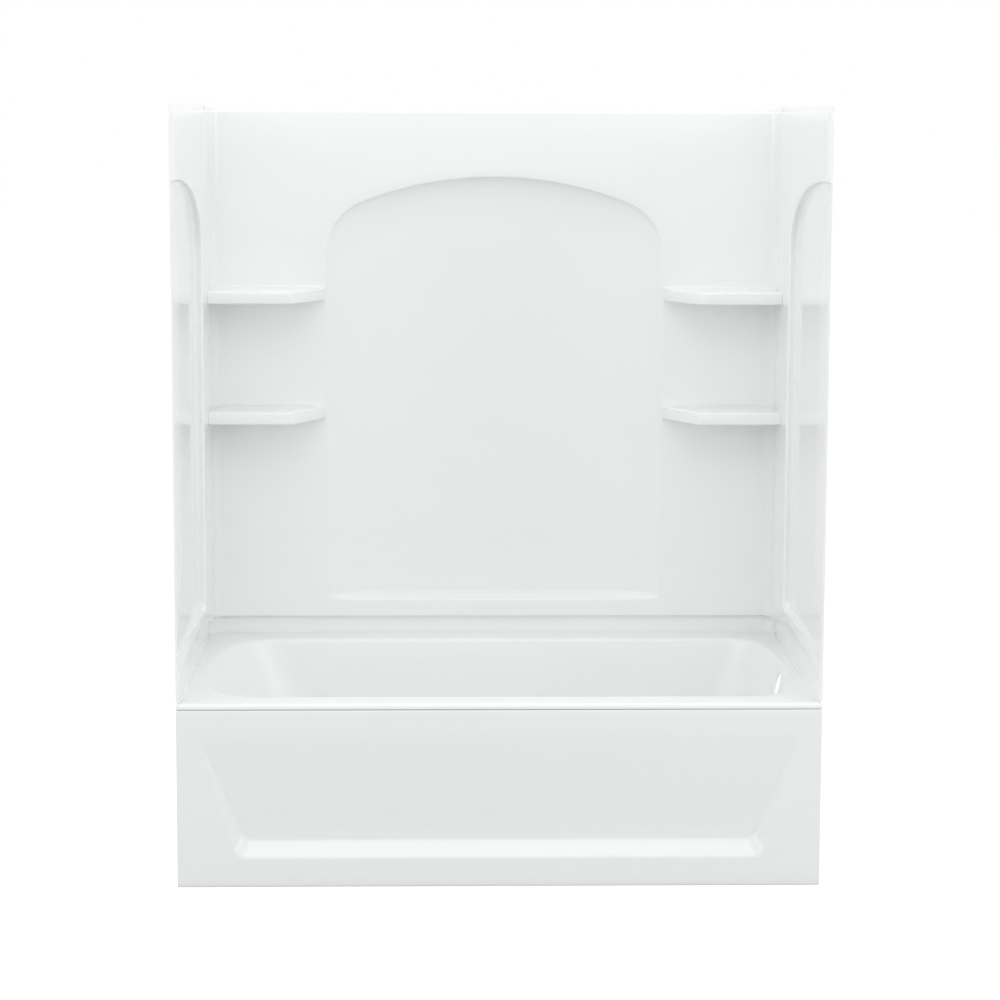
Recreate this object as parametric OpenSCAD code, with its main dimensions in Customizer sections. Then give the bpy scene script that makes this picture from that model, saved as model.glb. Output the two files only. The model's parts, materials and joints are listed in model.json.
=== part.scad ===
// Alcove bath with a three-piece moulded wall surround.
// Millimetres, +Z up, the open front faces -Y. The origin is at the middle
// of the footprint, on the floor.

/* [Overall size] */
// Width over the end walls, stud to stud
unit_w = 1524; // [1460:4:1640]
// Depth from the apron face to the stud plane behind the back wall
unit_d = 813; // [780:1:880]
// Height from the floor to the top of the nailing flange
unit_h = 1842; // [1790:2:2000]

/* [Bath] */
// Height of the flat deck above the floor
deck_h = 443; // [425:1:470]
// Wall thickness of the bath moulding
bath_t = 5; // [4:0.5:6]
// Deck width in front of the basin
front_deck = 78; // [74:1:92]
// Deck width behind the basin, up to the stud plane
back_deck = 114; // [108:1:130]
// Deck width beside the basin at its widest point
end_deck = 43; // [40:1:60]
// Height of the floor of the basin above the floor, at the drain
basin_floor_h = 77; // [74:1:90]
// Rise of the basin floor away from the drain
floor_fall = 5; // [2:1:8]
// Lean of the backrest end over the depth of the basin
backrest_lean = 150; // [120:5:200]
// Lean of the drain end
drain_end_lean = 85; // [60:5:110]
// Lean of the long sides
side_lean = 30; // [15:1:45]
// Radius-like width of the bend between the walls and the floor
bend_w = 62; // [50:2:80]
// Outward bow of the backrest end, seen from above
backrest_bow = 68; // [40:2:80]
// Outward bow of the drain end, seen from above
drain_end_bow = 46; // [30:2:60]
// Corner radius at the backrest end, at the deck
backrest_corner_r = 84; // [60:2:110]
// Corner radius at the drain end, at the deck
drain_corner_r = 56; // [45:1:80]
// Height of the flange behind the wall panels, above the deck
upstand_h = 62; // [55:1:75]
// Height of the rolled nose along the front of the deck
nose_h = 14; // [12:1:18]
// Radius on the nose and on the front corners of the deck
nose_r = 7; // [5:0.5:9]

/* [Drain and overflow] */
// Radius of the drain hole
drain_r = 26; // [22:0.5:30]
// Distance of the drain from the end of the floor
drain_inset = 72; // [66:1:100]
// Radius of the overflow hole
overflow_r = 30; // [26:0.5:34]
// Depth of the overflow centre below the deck
overflow_drop = 47; // [42:1:60]
// Width of the flat ring moulded round each hole, outside the basin
hole_ring_w = 12; // [10:1:16]

/* [Apron] */
// Thickness of the apron moulding
apron_t = 4; // [3:0.5:5]
// Shadow gap between the nose of the deck and the top of the apron
apron_gap = 4; // [3:0.5:6]
// Depth of the returns at the top, bottom and ends of the apron
apron_return = 38; // [32:1:42]
// Height of the lower edge of the inset panel
inset_low_h = 71; // [60:1:90]
// Height at which the inset panel meets the apron face
inset_high_h = 366; // [340:2:385]
// Distance from the end of the apron to the inset at its lower edge
inset_low_x = 139; // [120:1:160]
// Distance from the end of the apron to the inset at its upper edge
inset_high_x = 52; // [45:1:70]
// Depth of the inset panel at its lower edge
inset_depth = 26; // [18:1:32]
// Height of the sloping ledge below the inset panel
inset_ledge_h = 36; // [28:1:44]
// Width of the sloping side of the inset panel at its lower edge
inset_side_w = 20; // [14:1:28]
// Corner radius of the inset panel at its lower edge
inset_corner_r = 34; // [20:1:45]

/* [Wall panels] */
// Thickness of the wall mouldings
wall_t = 4; // [3:0.5:5]
// Setback of the main back wall face from the stud plane
back_setback = 44; // [42:1:56]
// Setback of the main end wall faces from the stud planes
end_setback = 23; // [21:1:30]
// Cove radius in the two rear corners
corner_r = 28; // [20:1:40]
// How far the skirt at the foot of the panels steps back
skirt_step = 14; // [10:1:16]
// Height of the skirt of the back wall above the deck
skirt_h = 47; // [40:1:60]
// Thickness of the sealant bed under the skirts
seal_bed = 4; // [3:0.5:5]
// Thickness of the sealant strip in the corner joints
joint_seal = 1; // [0.8:0.1:1.5]
// Height of the nailing flange above the top ledge
flange_h = 14; // [12:1:25]
// Radius of the nail holes in the flanges
nail_r = 2.5; // [2:0.25:3]
// Thickness of the stiffening strips behind the back wall
stiffener_t = 12; // [9:1:18]

/* [Back wall niche] */
// Half width of the arched niche
niche_half_w = 442; // [380:2:460]
// Height of the niche sill above the floor
niche_sill_h = 536; // [520:2:600]
// Height of the crown of the niche above the floor
niche_crown_h = 1656; // [1560:2:1700]
// Radius of the arch over the niche
niche_arch_r = 950; // [800:5:1200]
// Radius where the arch turns into the sides
niche_corner_r = 150; // [110:2:180]
// Depth of the niche in the middle
niche_depth = 38; // [30:1:38]
// Height over which the crown of the niche scoops back
niche_scoop_h = 100; // [60:5:140]
// Slope of the sill, rise over the depth
niche_sill_rise = 14; // [8:1:20]

/* [Shelves] */
// Heights of the shelf tops above the floor
shelf_heights = [1054, 1366];
// Thickness of a shelf at its front edge
shelf_h = 32; // [26:1:40]
// Depth of a shelf from the back wall
shelf_depth = 138; // [110:1:150]
// Length of the straight front edge of a shelf
shelf_front_l = 213; // [180:1:240]
// Gap between the end of a shelf and the end wall
shelf_gap = 1; // [0.5:0.5:2]

/* [End wall recess] */
// Distance from the front edge to the back of the recess
recess_l = 520; // [440:2:560]
// Height of the sill of the recess above the floor
recess_sill_h = 563; // [540:1:600]
// Height of the recess at the front edge above the floor
recess_crown_h = 1668; // [1600:2:1700]
// Height of the arched part of the recess
recess_arch_h = 195; // [150:5:240]
// Distance of the recess floor from the stud plane
recess_setback = 5; // [5:0.5:6]
// How far the end wall face flares out towards the front, above the recess
flare_top = 10; // [6:1:14]
// Height at which the end walls start to turn back to their skirts
end_turn_h = 546; // [530:1:555]

/* [Supports] */
// Thickness of the board bonded under the basin
board_t = 12; // [9:1:15]
// Thickness of the bonding pads between basin and board
pad_t = 4; // [3:0.5:6]
// Width of each floor bearer
bearer_w = 68; // [50:2:90]
// Number of bonding pads along the basin
pad_count = 4; // [3:1:6]
// Width of a bonding pad across the basin
pad_w = 60; // [40:5:90]
// Width of the stiffening bar under the front deck
bar_w = 24; // [20:1:26]
// Height of the stiffening bar
bar_h = 40; // [30:1:55]
// Distance from each end of the bath to the end of the stiffening bar
bar_end_gap = 62; // [45:1:90]
// Width of the batten at the foot of the apron
batten_w = 26; // [20:1:30]
// Height of the batten
batten_h = 30; // [25:1:45]
// Number of clips along the top of the apron
clip_count = 5; // [4:1:7]
// Width of an apron clip
clip_w = 30; // [20:1:40]
// Sheet thickness of an apron clip
clip_t = 1.5; // [1:0.25:2]
// Overlap of an apron clip over the top return of the apron
clip_lap = 20; // [12:1:28]
// Number of screws along the foot of the apron
apron_screw_count = 5; // [4:1:7]
// Number of bolts in each rear corner joint
joint_bolt_count = 5; // [3:1:7]
// Shaft radius of the joint bolts
bolt_r = 3; // [2:0.5:3]
// Shaft radius of the wood screws
screw_r = 2.5; // [2:0.25:3]
// Length of a bearer screw in its bearer
bearer_screw_l = 26; // [20:1:35]
// Length of a clip screw in the stiffening bar
clip_screw_l = 16; // [12:1:18]

/* [Hidden] */
$fn = 64;
// overshoot of a cutting tool past the face that it cuts
over = 1;
// running clearance of a shaft in its hole
hole_slack = 0.4;
// depth of a pilot hole past the tip of its screw
pilot_extra = 2;
// overlap that joins two bodies of one moulding
joined = 0.5;

half_w = unit_w / 2;
function y_at(from_front) = from_front - unit_d / 2;
stud_y = y_at(unit_d);

// bath
basin_x0 = -half_w + end_deck;
basin_x1 = half_w - end_deck;
basin_y0 = y_at(front_deck);
basin_y1 = y_at(unit_d - back_deck);
basin_mid_y = (basin_y0 + basin_y1) / 2;
basin_half_y = (basin_y1 - basin_y0) / 2;
backrest_bend = bend_w * 1.7;
deck_under = deck_h - bath_t;
upstand_top = deck_h + upstand_h;
basin_under = basin_floor_h - bath_t;
wall_power = 3.2;
levels = 9;
corner_steps = 8;
end_steps = 6;
floor_x1 = basin_x1 - drain_end_lean - bend_w;
floor_x0 = basin_x0 + backrest_lean + backrest_bend;
drain_x = floor_x1 - drain_inset;
end_slope = atan(drain_end_lean / (deck_h - basin_floor_h));
overflow_x = basin_x1 - drain_end_lean * overflow_drop / (deck_h - basin_floor_h);
overflow_z = deck_h - overflow_drop;

// wall panels
face_y = y_at(unit_d - back_setback);
joint_y = face_y - corner_r;
face_x = half_w - end_setback;
cove_x = face_x - corner_r;
skirt_x = face_x + skirt_step;
skirt_low = deck_h + seal_bed;
skirt_top = deck_h + skirt_h;
ledge_top = unit_h - flange_h;
recess_x = half_w - recess_setback;
recess_y = y_at(recess_l);
front_y = y_at(0);
flange_low = upstand_top + seal_bed;
end_joint_y = joint_y - joint_seal;

// apron
apron_top = deck_h - nose_h - apron_gap;

// supports
board_end_gap = 6;
board_top = basin_under - pad_t;
board_low = board_top - board_t;
board_x0 = floor_x0 + bend_w;
board_x1 = floor_x1 - board_end_gap;
board_y0 = basin_y0 + side_lean + bend_w;
board_y1 = basin_y1 - side_lean - bend_w;
bar_apron_gap = 8;
bar_y0 = y_at(apron_return + bar_apron_gap);
bar_y1 = bar_y0 + bar_w;
bar_half_l = half_w - bar_end_gap;
clip_drop = 12;
screw_head_r = 4.5;
screw_head_h = 2.5;
washer_r = 8;
washer_t = 1.5;
bolt_head_h = 4;
nut_r = 6;
nut_h = 5;
bolt_tail = 3;

white = "white";
sealant = "whitesmoke";
timber = "burlywood";
steel = "lightsteelblue";

// Evenly spaced positions, with the same margin at both ends
function spread(low, high, count) = [for (k = [0 : count - 1]) low + (high - low) * (k + 0.5) / count];

// One quarter circle of points, from the start angle, anticlockwise
function quarter(cx, cy, r, start) =
    [for (k = [0 : corner_steps]) [cx + r * cos(start + 90 * k / corner_steps),
                                   cy + r * sin(start + 90 * k / corner_steps)]];

// Points along a straight end, without its first and last point
function end_line(x, ya, yb) = [for (k = [1 : end_steps - 1]) [x, ya + (yb - ya) * k / end_steps]];

// A rectangle with a corner radius at each end, whose two ends bow outwards:
// a point moves inwards with the square of its distance from the middle line
function bowed(x0, x1, y0, y1, r0, r1, bow0, bow1) =
    let (flat = concat(end_line(x1, y0 + r1, y1 - r1), quarter(x1 - r1, y1 - r1, r1, 0),
                       quarter(x0 + r0, y1 - r0, r0, 90), end_line(x0, y1 - r0, y0 + r0),
                       quarter(x0 + r0, y0 + r0, r0, 180), quarter(x1 - r1, y0 + r1, r1, 270)),
         mid = (y0 + y1) / 2, half = (y1 - y0) / 2)
    [for (p = flat) let (u = (p.y - mid) / half) [p.x > 0 ? p.x - bow1 * u * u : p.x + bow0 * u * u, p.y]];

// Basin outline at one level. fall is 0 at the deck and 1 at the floor, and
// bend is the share of the bend towards the floor that is used up there.
function basin_outline(fall, bend, grow) =
    bowed(basin_x0 + backrest_lean * fall + backrest_bend * bend - grow,
          basin_x1 - drain_end_lean * fall - bend_w * bend + grow,
          basin_y0 + side_lean * fall + bend_w * bend - grow,
          basin_y1 - side_lean * fall - bend_w * bend + grow,
          backrest_corner_r + 30 * fall + grow, drain_corner_r + 40 * fall + grow,
          backrest_bow, drain_end_bow);

// Height of the basin floor, which falls towards the drain
function floor_z(x) = basin_floor_h + floor_fall * (floor_x1 - x) / (floor_x1 - floor_x0);

// Rings of points from the deck down to the floor, on a superellipse
function basin_rings(grow, top_z) =
    [for (k = [-1 : levels])
        let (angle = 90 * max(k, 0) / levels,
             fall = pow(sin(angle), 2 / wall_power),
             bend = 1 - pow(cos(angle), 2 / wall_power))
        [for (p = basin_outline(fall, bend, grow))
            let (low = grow > 0 ? basin_under : floor_z(p.x))
            [p.x, p.y, k < 0 ? top_z : deck_h - fall * (deck_h - low)]]];

// A closed solid through a stack of rings
module loft(rings) {
    n = len(rings[0]);
    m = len(rings);
    polyhedron(
        points = [for (ring = rings) for (p = ring) p],
        faces = concat(
            [[for (k = [n - 1 : -1 : 0]) k]],
            [for (j = [0 : m - 2]) for (k = [0 : n - 1])
                let (a = j * n + k, b = j * n + (k + 1) % n) [a, b, b + n]],
            [for (j = [0 : m - 2]) for (k = [0 : n - 1])
                let (a = j * n + k, b = j * n + (k + 1) % n) [a, b + n, a + n]],
            [[for (k = [0 : n - 1]) (m - 1) * n + k]]));
}

// Extrude a drawing in Y (right) and Z (up) from x0 to x1
module along_x(x0, x1) {
    translate([x0, 0, 0]) rotate([90, 0, 90]) linear_extrude(x1 - x0) children();
}

// Extrude a drawing in X (right) and Z (up) from y0 to y1
module along_y(y0, y1) {
    translate([0, y1, 0]) rotate([90, 0, 0]) linear_extrude(y1 - y0) children();
}

// A box between two corners
module block(low, high) {
    translate(low) cube(high - low);
}

module both_ends() {
    children();
    mirror([1, 0, 0]) children();
}

// The bath: deck with a rolled nose, basin, and the flange behind the panels
module deck_section() {
    difference() {
        union() {
            translate([front_y + nose_r, deck_h - nose_r]) circle(nose_r);
            translate([front_y, deck_h - nose_h]) square([nose_r, nose_h - nose_r]);
            translate([front_y + nose_r, deck_under])
                square([stud_y - front_y - nose_r, bath_t]);
            translate([front_y, deck_h - nose_h]) square([bath_t, nose_h - nose_r]);
            translate([stud_y - bath_t, deck_under]) square([bath_t, upstand_h + bath_t]);
            translate([front_y + bath_t, deck_h - nose_h])
                square([nose_r - bath_t, nose_h - nose_r]);
        }
        translate([front_y + bath_t, deck_h - nose_h - over])
            square([nose_r, nose_h - bath_t + over]);
    }
}

// The flange holes, as shares of the half width and of the depth
nail_xs = [for (share = [-0.7874, -0.2625, 0.2625, 0.7874]) share * half_w];
nail_edge = 12;
bath_nail_z = upstand_top - nail_edge;

// Distance from the front edge to the side flanges of the bath
upstand_front = 24;

module bath_shell() {
    color(white) difference() {
        union() {
            along_x(-half_w, half_w) deck_section();
            both_ends() block([half_w - bath_t + joined, y_at(upstand_front), deck_under],
                              [half_w, stud_y, upstand_top]);
            loft(basin_rings(bath_t, deck_h - joined));
            translate([drain_x, basin_mid_y, board_low])
                cylinder(r = drain_r + hole_ring_w, h = basin_under - board_low + bath_t / 2);
            overflow_frame() translate([0, 0, bath_t / 2])
                cylinder(r = overflow_r + hole_ring_w, h = bath_t);
        }
        loft(basin_rings(0, deck_h + over));
        translate([drain_x, basin_mid_y, board_low - over]) cylinder(r = drain_r, h = basin_floor_h);
        overflow_frame() translate([0, 0, -3 * bath_t]) cylinder(r = overflow_r, h = 6 * bath_t);
        both_ends() translate([half_w - nose_r, front_y + nose_r, deck_h - nose_h - over]) difference() {
            translate([0, -nose_r - over, 0]) cube([nose_r + over, nose_r + over, nose_h + 2 * over]);
            cylinder(r = nose_r, h = nose_h + 2 * over);
        }
        for (x = nail_xs)
            translate([x, stud_y + over, bath_nail_z]) rotate([90, 0, 0])
                cylinder(r = nail_r, h = bath_t + 2 * over);
    }
}

// Frame with its Z axis square to the drain end of the basin, pointing out
module overflow_frame() {
    translate([overflow_x, basin_mid_y, overflow_z]) rotate([0, 90 + end_slope, 0]) children();
}

// Outline of the apron inset at the apron face, in X and Z
module inset_outline(grow) {
    low_x = half_w - inset_low_x + grow;
    high_x = half_w - inset_high_x + grow;
    low_z = inset_low_h - grow;
    lean = atan((high_x - low_x) / (inset_high_h - low_z));
    r = inset_corner_r + grow;
    turn = 90 - lean;
    cx = low_x - r * tan(turn / 2);
    arc = [for (k = [0 : 6]) let (a = -90 + turn * k / 6) [cx + r * cos(a), low_z + r + r * sin(a)]];
    right = concat(arc, [[high_x, inset_high_h]]);
    polygon(concat(right, [for (k = [len(right) - 1 : -1 : 0]) [-right[k].x, right[k].y]]));
}

// The leaning inset: deepest at its lower edge, nothing at its upper edge
module inset_body(grow) {
    rise = inset_ledge_h;
    low_x = half_w - inset_low_x - inset_side_w + grow;
    high_x = half_w - inset_high_x - 2 + grow;
    r = inset_corner_r;
    hull() {
        along_y(front_y - 0.5, front_y + 0.01) inset_outline(grow);
        for (s = [-1, 1])
            translate([s * (low_x - r), front_y, inset_low_h + rise + r - grow]) rotate([-90, 0, 0])
                cylinder(r = r, h = inset_depth + grow, $fn = 32);
        along_y(front_y, front_y + 0.02 + grow)
            translate([-high_x, inset_high_h - 1]) square([2 * high_x, 1]);
    }
}

module front_apron() {
    y0 = front_y;
    color(white) difference() {
        union() {
            block([-half_w, y0, 0], [half_w, y0 + apron_t, apron_top]);
            block([-half_w, y0, apron_top - apron_t], [half_w, y0 + apron_return, apron_top]);
            block([-half_w, y0, 0], [half_w, y0 + apron_return, apron_t]);
            both_ends() block([half_w - apron_t, y0, 0], [half_w, y0 + apron_return, apron_top]);
            inset_body(apron_t);
        }
        inset_body(0);
        for (x = apron_screw_xs)
            translate([x, apron_screw_y, -over]) cylinder(r = screw_r + hole_slack, h = apron_t + 2 * over);
        // a flat face in front, where the hull above starts a little early
        block([-half_w - over, y0 - 2, -over], [half_w + over, y0, apron_top + over]);
    }
}

// Plan of everything inside a line that runs along the back wall and round
// both rear coves, r away from the cove centres
module back_plan(r) {
    intersection() {
        union() {
            translate([-cove_x, joint_y]) square([2 * cove_x, r]);
            for (s = [-1, 1]) translate([s * cove_x, joint_y]) circle(r);
        }
        translate([-half_w, joint_y]) square([unit_w, stud_y - joint_y]);
    }
}

// A wall of thickness t along that line, between two heights
module back_strip(r, t, low, high) {
    translate([0, 0, low]) linear_extrude(high - low) difference() {
        back_plan(r + t);
        back_plan(r);
    }
}

// Arch outline in X and Z: straight sides, corner radius, large arc
module niche_outline(grow) {
    r = niche_arch_r + grow;
    c = niche_corner_r + grow;
    w = niche_half_w + grow;
    crown = niche_crown_h + grow;
    // centre of the corner circle, inside the big arc and the side
    cx = w - c;
    cz = crown - r + sqrt(pow(r - c, 2) - cx * cx);
    top_a = atan2(cz - (crown - r), cx);
    steps = 20;
    corner = [for (k = [0 : 8]) let (a = top_a * k / 8) [cx + c * cos(a), cz + c * sin(a)]];
    arc = [for (k = [1 : steps]) let (a = top_a + (90 - top_a) * k / steps)
            [r * cos(a), crown - r + r * sin(a)]];
    right = concat([[w, niche_sill_h - grow]], corner, arc);
    polygon(concat(right, [for (k = [len(right) - 2 : -1 : 0]) [-right[k].x, right[k].y]]));
}

// Plan of the niche: half an ellipse, deepest in the middle
module niche_plan(grow) {
    steps = 24;
    polygon(concat(
        [for (k = [0 : steps]) let (a = 180 * k / steps)
            [(niche_half_w + grow) * cos(a), face_y + (niche_depth + grow) * sin(a)]],
        [[-niche_half_w - grow, face_y - over], [niche_half_w + grow, face_y - over]]));
}

// Side section of the niche: sloping sill, scooped crown
module niche_section(grow) {
    steps = 8;
    polygon(concat(
        [[face_y - over, niche_sill_h - grow], [face_y, niche_sill_h - grow],
         [face_y + niche_depth + grow, niche_sill_h + niche_sill_rise - grow]],
        [for (k = [0 : steps]) let (a = 90 * k / steps)
            [face_y + (niche_depth + grow) * cos(a), niche_crown_h + grow - niche_scoop_h * (1 - sin(a))]],
        [[face_y - over, niche_crown_h + grow]]));
}

module niche_body(grow) {
    intersection() {
        along_y(face_y - over, face_y + niche_depth + grow + over) niche_outline(grow);
        translate([0, 0, niche_sill_h - over - grow])
            linear_extrude(niche_crown_h - niche_sill_h + 2 * over + 2 * grow) niche_plan(grow);
        along_x(-niche_half_w - grow - over, niche_half_w + grow + over) niche_section(grow);
    }
}

// The pan of the niche, whose rim fills the cut-out of the wall face
module niche_panel() {
    color(white) intersection() {
        difference() {
            niche_body(wall_t);
            niche_body(0);
        }
        block([-half_w, face_y, 0], [half_w, stud_y, unit_h]);
    }
}

// Plan of a right-hand shelf, shrunk by inset for its hollow
module shelf_plan(inset) {
    end_x = face_x - shelf_gap - inset;
    front = face_y - shelf_depth + inset;
    turn = face_x - shelf_front_l;
    slant = shelf_depth / (turn - niche_half_w);
    shift = inset * (sqrt(1 + slant * slant) - 1) / slant;
    foot = niche_half_w + inset * sqrt(1 + slant * slant) / slant;
    polygon([[end_x, front], [turn + shift, front], [foot, face_y], [end_x, face_y]]);
}

// A hollow shelf that is open at the back and fits the face and the cove
module shelf(top_z) {
    translate([0, 0, top_z - shelf_h]) intersection() {
        difference() {
            linear_extrude(shelf_h) shelf_plan(0);
            translate([0, 0, wall_t]) linear_extrude(shelf_h - 2 * wall_t) shelf_plan(wall_t);
        }
        linear_extrude(shelf_h) union() {
            translate([0, front_y]) square([half_w, joint_y - front_y]);
            back_plan(corner_r);
        }
    }
}

module corner_shelves() {
    color(white) both_ends() for (z = shelf_heights) shelf(z);
}

flange_nail_z = ledge_top + flange_h / 2;
joint_bolt_end = 40;
joint_bolt_zs = spread(flange_low + joint_bolt_end, ledge_top - joint_bolt_end, joint_bolt_count);
joint_bolt_x = (face_x + wall_t + half_w) / 2;

module joint_holes(y0, y1) {
    for (z = joint_bolt_zs)
        translate([joint_bolt_x, y1, z]) rotate([90, 0, 0]) cylinder(r = bolt_r + hole_slack, h = y1 - y0);
}

module back_wall() {
    color(white) difference() {
        union() {
            back_strip(corner_r, wall_t, skirt_top, ledge_top);
            back_strip(corner_r, skirt_step + wall_t, skirt_top - wall_t, skirt_top);
            back_strip(corner_r + skirt_step, wall_t, skirt_low, skirt_top);
            // top ledge and the nailing flange on it
            translate([0, 0, ledge_top - wall_t]) linear_extrude(wall_t) difference() {
                translate([-half_w, joint_y]) square([unit_w, stud_y - joint_y]);
                back_plan(corner_r);
            }
            translate([0, 0, ledge_top - wall_t]) linear_extrude(flange_h + wall_t) difference() {
                translate([-half_w, joint_y]) square([unit_w, stud_y - joint_y]);
                translate([-half_w + wall_t, joint_y - over])
                    square([unit_w - 2 * wall_t, stud_y - joint_y - wall_t + over]);
            }
            // flanges of the corner joints
            both_ends() block([face_x, joint_y, flange_low], [half_w, joint_y + wall_t, ledge_top]);
        }
        niche_body(wall_t);
        for (x = nail_xs)
            translate([x, stud_y + over, flange_nail_z]) rotate([90, 0, 0])
                cylinder(r = nail_r, h = wall_t + 2 * over);
        both_ends() joint_holes(joint_y - over, joint_y + wall_t + over);
    }
}

// Strips bonded behind the plain stretches beside the niche, which bear on the studs
module wall_stiffeners() {
    niche_gap = 30;
    strip_zs = [(skirt_top + shelf_heights[0]) / 2, (shelf_heights[0] + shelf_heights[1]) / 2,
                (shelf_heights[1] + ledge_top) / 2];
    color(timber) both_ends() for (z = strip_zs)
        block([niche_half_w + niche_gap, face_y + wall_t, z], [cove_x, stud_y, z + stiffener_t]);
}

// Outline of the end wall recess in Y and Z: a flattened quarter arch
module recess_outline(grow) {
    steps = 16;
    power = 2 / 2.2;
    spring = recess_crown_h - recess_arch_h;
    polygon(concat(
        [[front_y - over, recess_sill_h - grow], [recess_y + grow, recess_sill_h - grow]],
        [for (k = [0 : steps]) let (a = 90 * k / steps)
            [front_y + (recess_l + grow) * pow(cos(a), power),
             spring + (recess_arch_h + grow) * pow(sin(a), power)]],
        [[front_y - over, recess_crown_h + grow]]));
}

// Plan of a right-hand end wall outboard of its face, which flares outwards
// over the length of the recess
module end_plan(flare, shift, outer) {
    polygon([[face_x + flare + shift, front_y], [face_x + shift, recess_y], [face_x + shift, end_joint_y],
             [outer, end_joint_y], [outer, front_y]]);
}

end_nails_y = [for (share = [0.1722, 0.738]) y_at(share * unit_d)];

module end_wall() {
    flare_low = recess_x - face_x - 1;
    color(white) difference() {
        union() {
            // main face above the sill, with the recess taken out
            difference() {
                translate([0, 0, recess_sill_h]) linear_extrude(ledge_top - recess_sill_h) difference() {
                    end_plan(flare_top, 0, half_w);
                    translate([0, -0.01]) end_plan(flare_top, wall_t, half_w + over);
                }
                along_x(face_x - over, half_w + over) recess_outline(0);
            }
            // wall of the recess, from its floor to the main face
            intersection() {
                translate([0, 0, recess_sill_h - wall_t]) linear_extrude(recess_crown_h)
                    end_plan(flare_top, 0, recess_x + wall_t);
                difference() {
                    along_x(face_x - over, recess_x + wall_t) recess_outline(wall_t);
                    along_x(face_x - 2 * over, recess_x) recess_outline(0);
                }
            }
            // front return, out to the stud plane
            block([recess_x, front_y, skirt_low], [half_w, front_y + wall_t, ledge_top]);
            block([face_x + flare_top, front_y, recess_crown_h], [half_w, front_y + wall_t, ledge_top]);
            // below the sill the face runs out to the recess floor at the front
            hull() {
                translate([0, 0, recess_sill_h - wall_t]) linear_extrude(wall_t)
                    polygon([[face_x + flare_low, front_y], [face_x, recess_y], [face_x + wall_t, recess_y],
                             [recess_x + wall_t - 0.5, front_y]]);
                translate([0, 0, end_turn_h - wall_t]) linear_extrude(wall_t)
                    polygon([[face_x + flare_low, front_y], [face_x, recess_y], [face_x + wall_t, recess_y],
                             [recess_x + wall_t - 0.5, front_y]]);
            }
            block([face_x, recess_y, end_turn_h - wall_t],
                  [face_x + wall_t, end_joint_y, recess_sill_h + over]);
            // turn back to the skirt
            hull() {
                translate([0, 0, end_turn_h - wall_t]) linear_extrude(wall_t)
                    polygon([[face_x + flare_low, front_y], [face_x, recess_y], [face_x + wall_t, recess_y],
                             [recess_x + wall_t - 0.5, front_y]]);
                block([skirt_x, front_y, upstand_top], [skirt_x + wall_t, recess_y, upstand_top + 1]);
            }
            hull() {
                block([face_x, recess_y, end_turn_h - wall_t], [face_x + wall_t, end_joint_y, end_turn_h]);
                block([skirt_x, recess_y, upstand_top], [skirt_x + wall_t, end_joint_y, upstand_top + 1]);
            }
            block([skirt_x, front_y, skirt_low], [skirt_x + wall_t, end_joint_y, upstand_top + 1]);
            // sill of the recess
            translate([0, 0, recess_sill_h - wall_t]) linear_extrude(wall_t)
                polygon([[face_x + flare_low, front_y], [face_x, recess_y], [recess_x + wall_t, recess_y],
                         [recess_x + wall_t, front_y]]);
            // top ledge and nailing flange
            translate([0, 0, ledge_top - wall_t]) linear_extrude(wall_t) end_plan(flare_top, 0, half_w);
            block([half_w - wall_t, front_y, ledge_top - wall_t], [half_w, end_joint_y, unit_h]);
            // flange of the corner joint
            block([face_x, end_joint_y - wall_t, flange_low], [half_w, end_joint_y, ledge_top]);
        }
        for (y = end_nails_y)
            translate([half_w - wall_t - over, y, flange_nail_z]) rotate([0, 90, 0])
                cylinder(r = nail_r, h = wall_t + 2 * over);
        joint_holes(end_joint_y - wall_t - over, end_joint_y + over);
    }
}

module right_end_wall() { end_wall(); }
module left_end_wall() { mirror([1, 0, 0]) end_wall(); }

// Sealant under the skirts and in the corner joints
module back_deck_seal() {
    color(sealant) back_strip(corner_r + skirt_step, wall_t, deck_h, skirt_low);
}

module side_deck_seal() {
    color(sealant) block([skirt_x, front_y + nose_r + over, deck_h],
                         [skirt_x + wall_t, end_joint_y, skirt_low]);
}

module right_deck_seal() { side_deck_seal(); }
module left_deck_seal() { mirror([1, 0, 0]) side_deck_seal(); }

module corner_seal() {
    color(sealant) difference() {
        union() {
            block([face_x, end_joint_y, end_turn_h], [half_w, joint_y, ledge_top]);
            block([skirt_x, end_joint_y, deck_h], [skirt_x + wall_t, joint_y, end_turn_h]);
        }
        joint_holes(end_joint_y - over, joint_y + over);
    }
}

module right_corner_seal() { corner_seal(); }
module left_corner_seal() { mirror([1, 0, 0]) corner_seal(); }

// Board bonded under the basin, with room for the drain
bearer_ys = [board_y0 + bearer_w / 2, basin_mid_y, board_y1 - bearer_w / 2];
board_hole_r = drain_r + hole_ring_w + 14;
bearer_gap = 20;
screw_xs = spread(board_x0, drain_x - board_hole_r - bearer_gap, 4);

module base_board() {
    color(timber) difference() {
        block([board_x0, board_y0, board_low], [board_x1, board_y1, board_top]);
        translate([drain_x, basin_mid_y, board_low - over])
            cylinder(r = board_hole_r, h = board_t + 2 * over);
        for (x = screw_xs, y = bearer_ys)
            translate([x, y, board_low - over]) {
                cylinder(r = screw_r, h = board_t + 2 * over);
                translate([0, 0, over + board_t - screw_head_h])
                    cylinder(r = screw_head_r, h = screw_head_h + over);
            }
    }
}

module bonding_pads() {
    span = drain_x - board_hole_r - board_x0;
    share = 0.62;
    pad_l = span / pad_count * share;
    color(sealant) for (x = spread(board_x0, board_x0 + span, pad_count), s = [-1, 1])
        translate([x - pad_l / 2, basin_mid_y + s * (board_y1 - board_y0) / 4 - pad_w / 2, board_top])
            cube([pad_l, pad_w, pad_t]);
}

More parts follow.
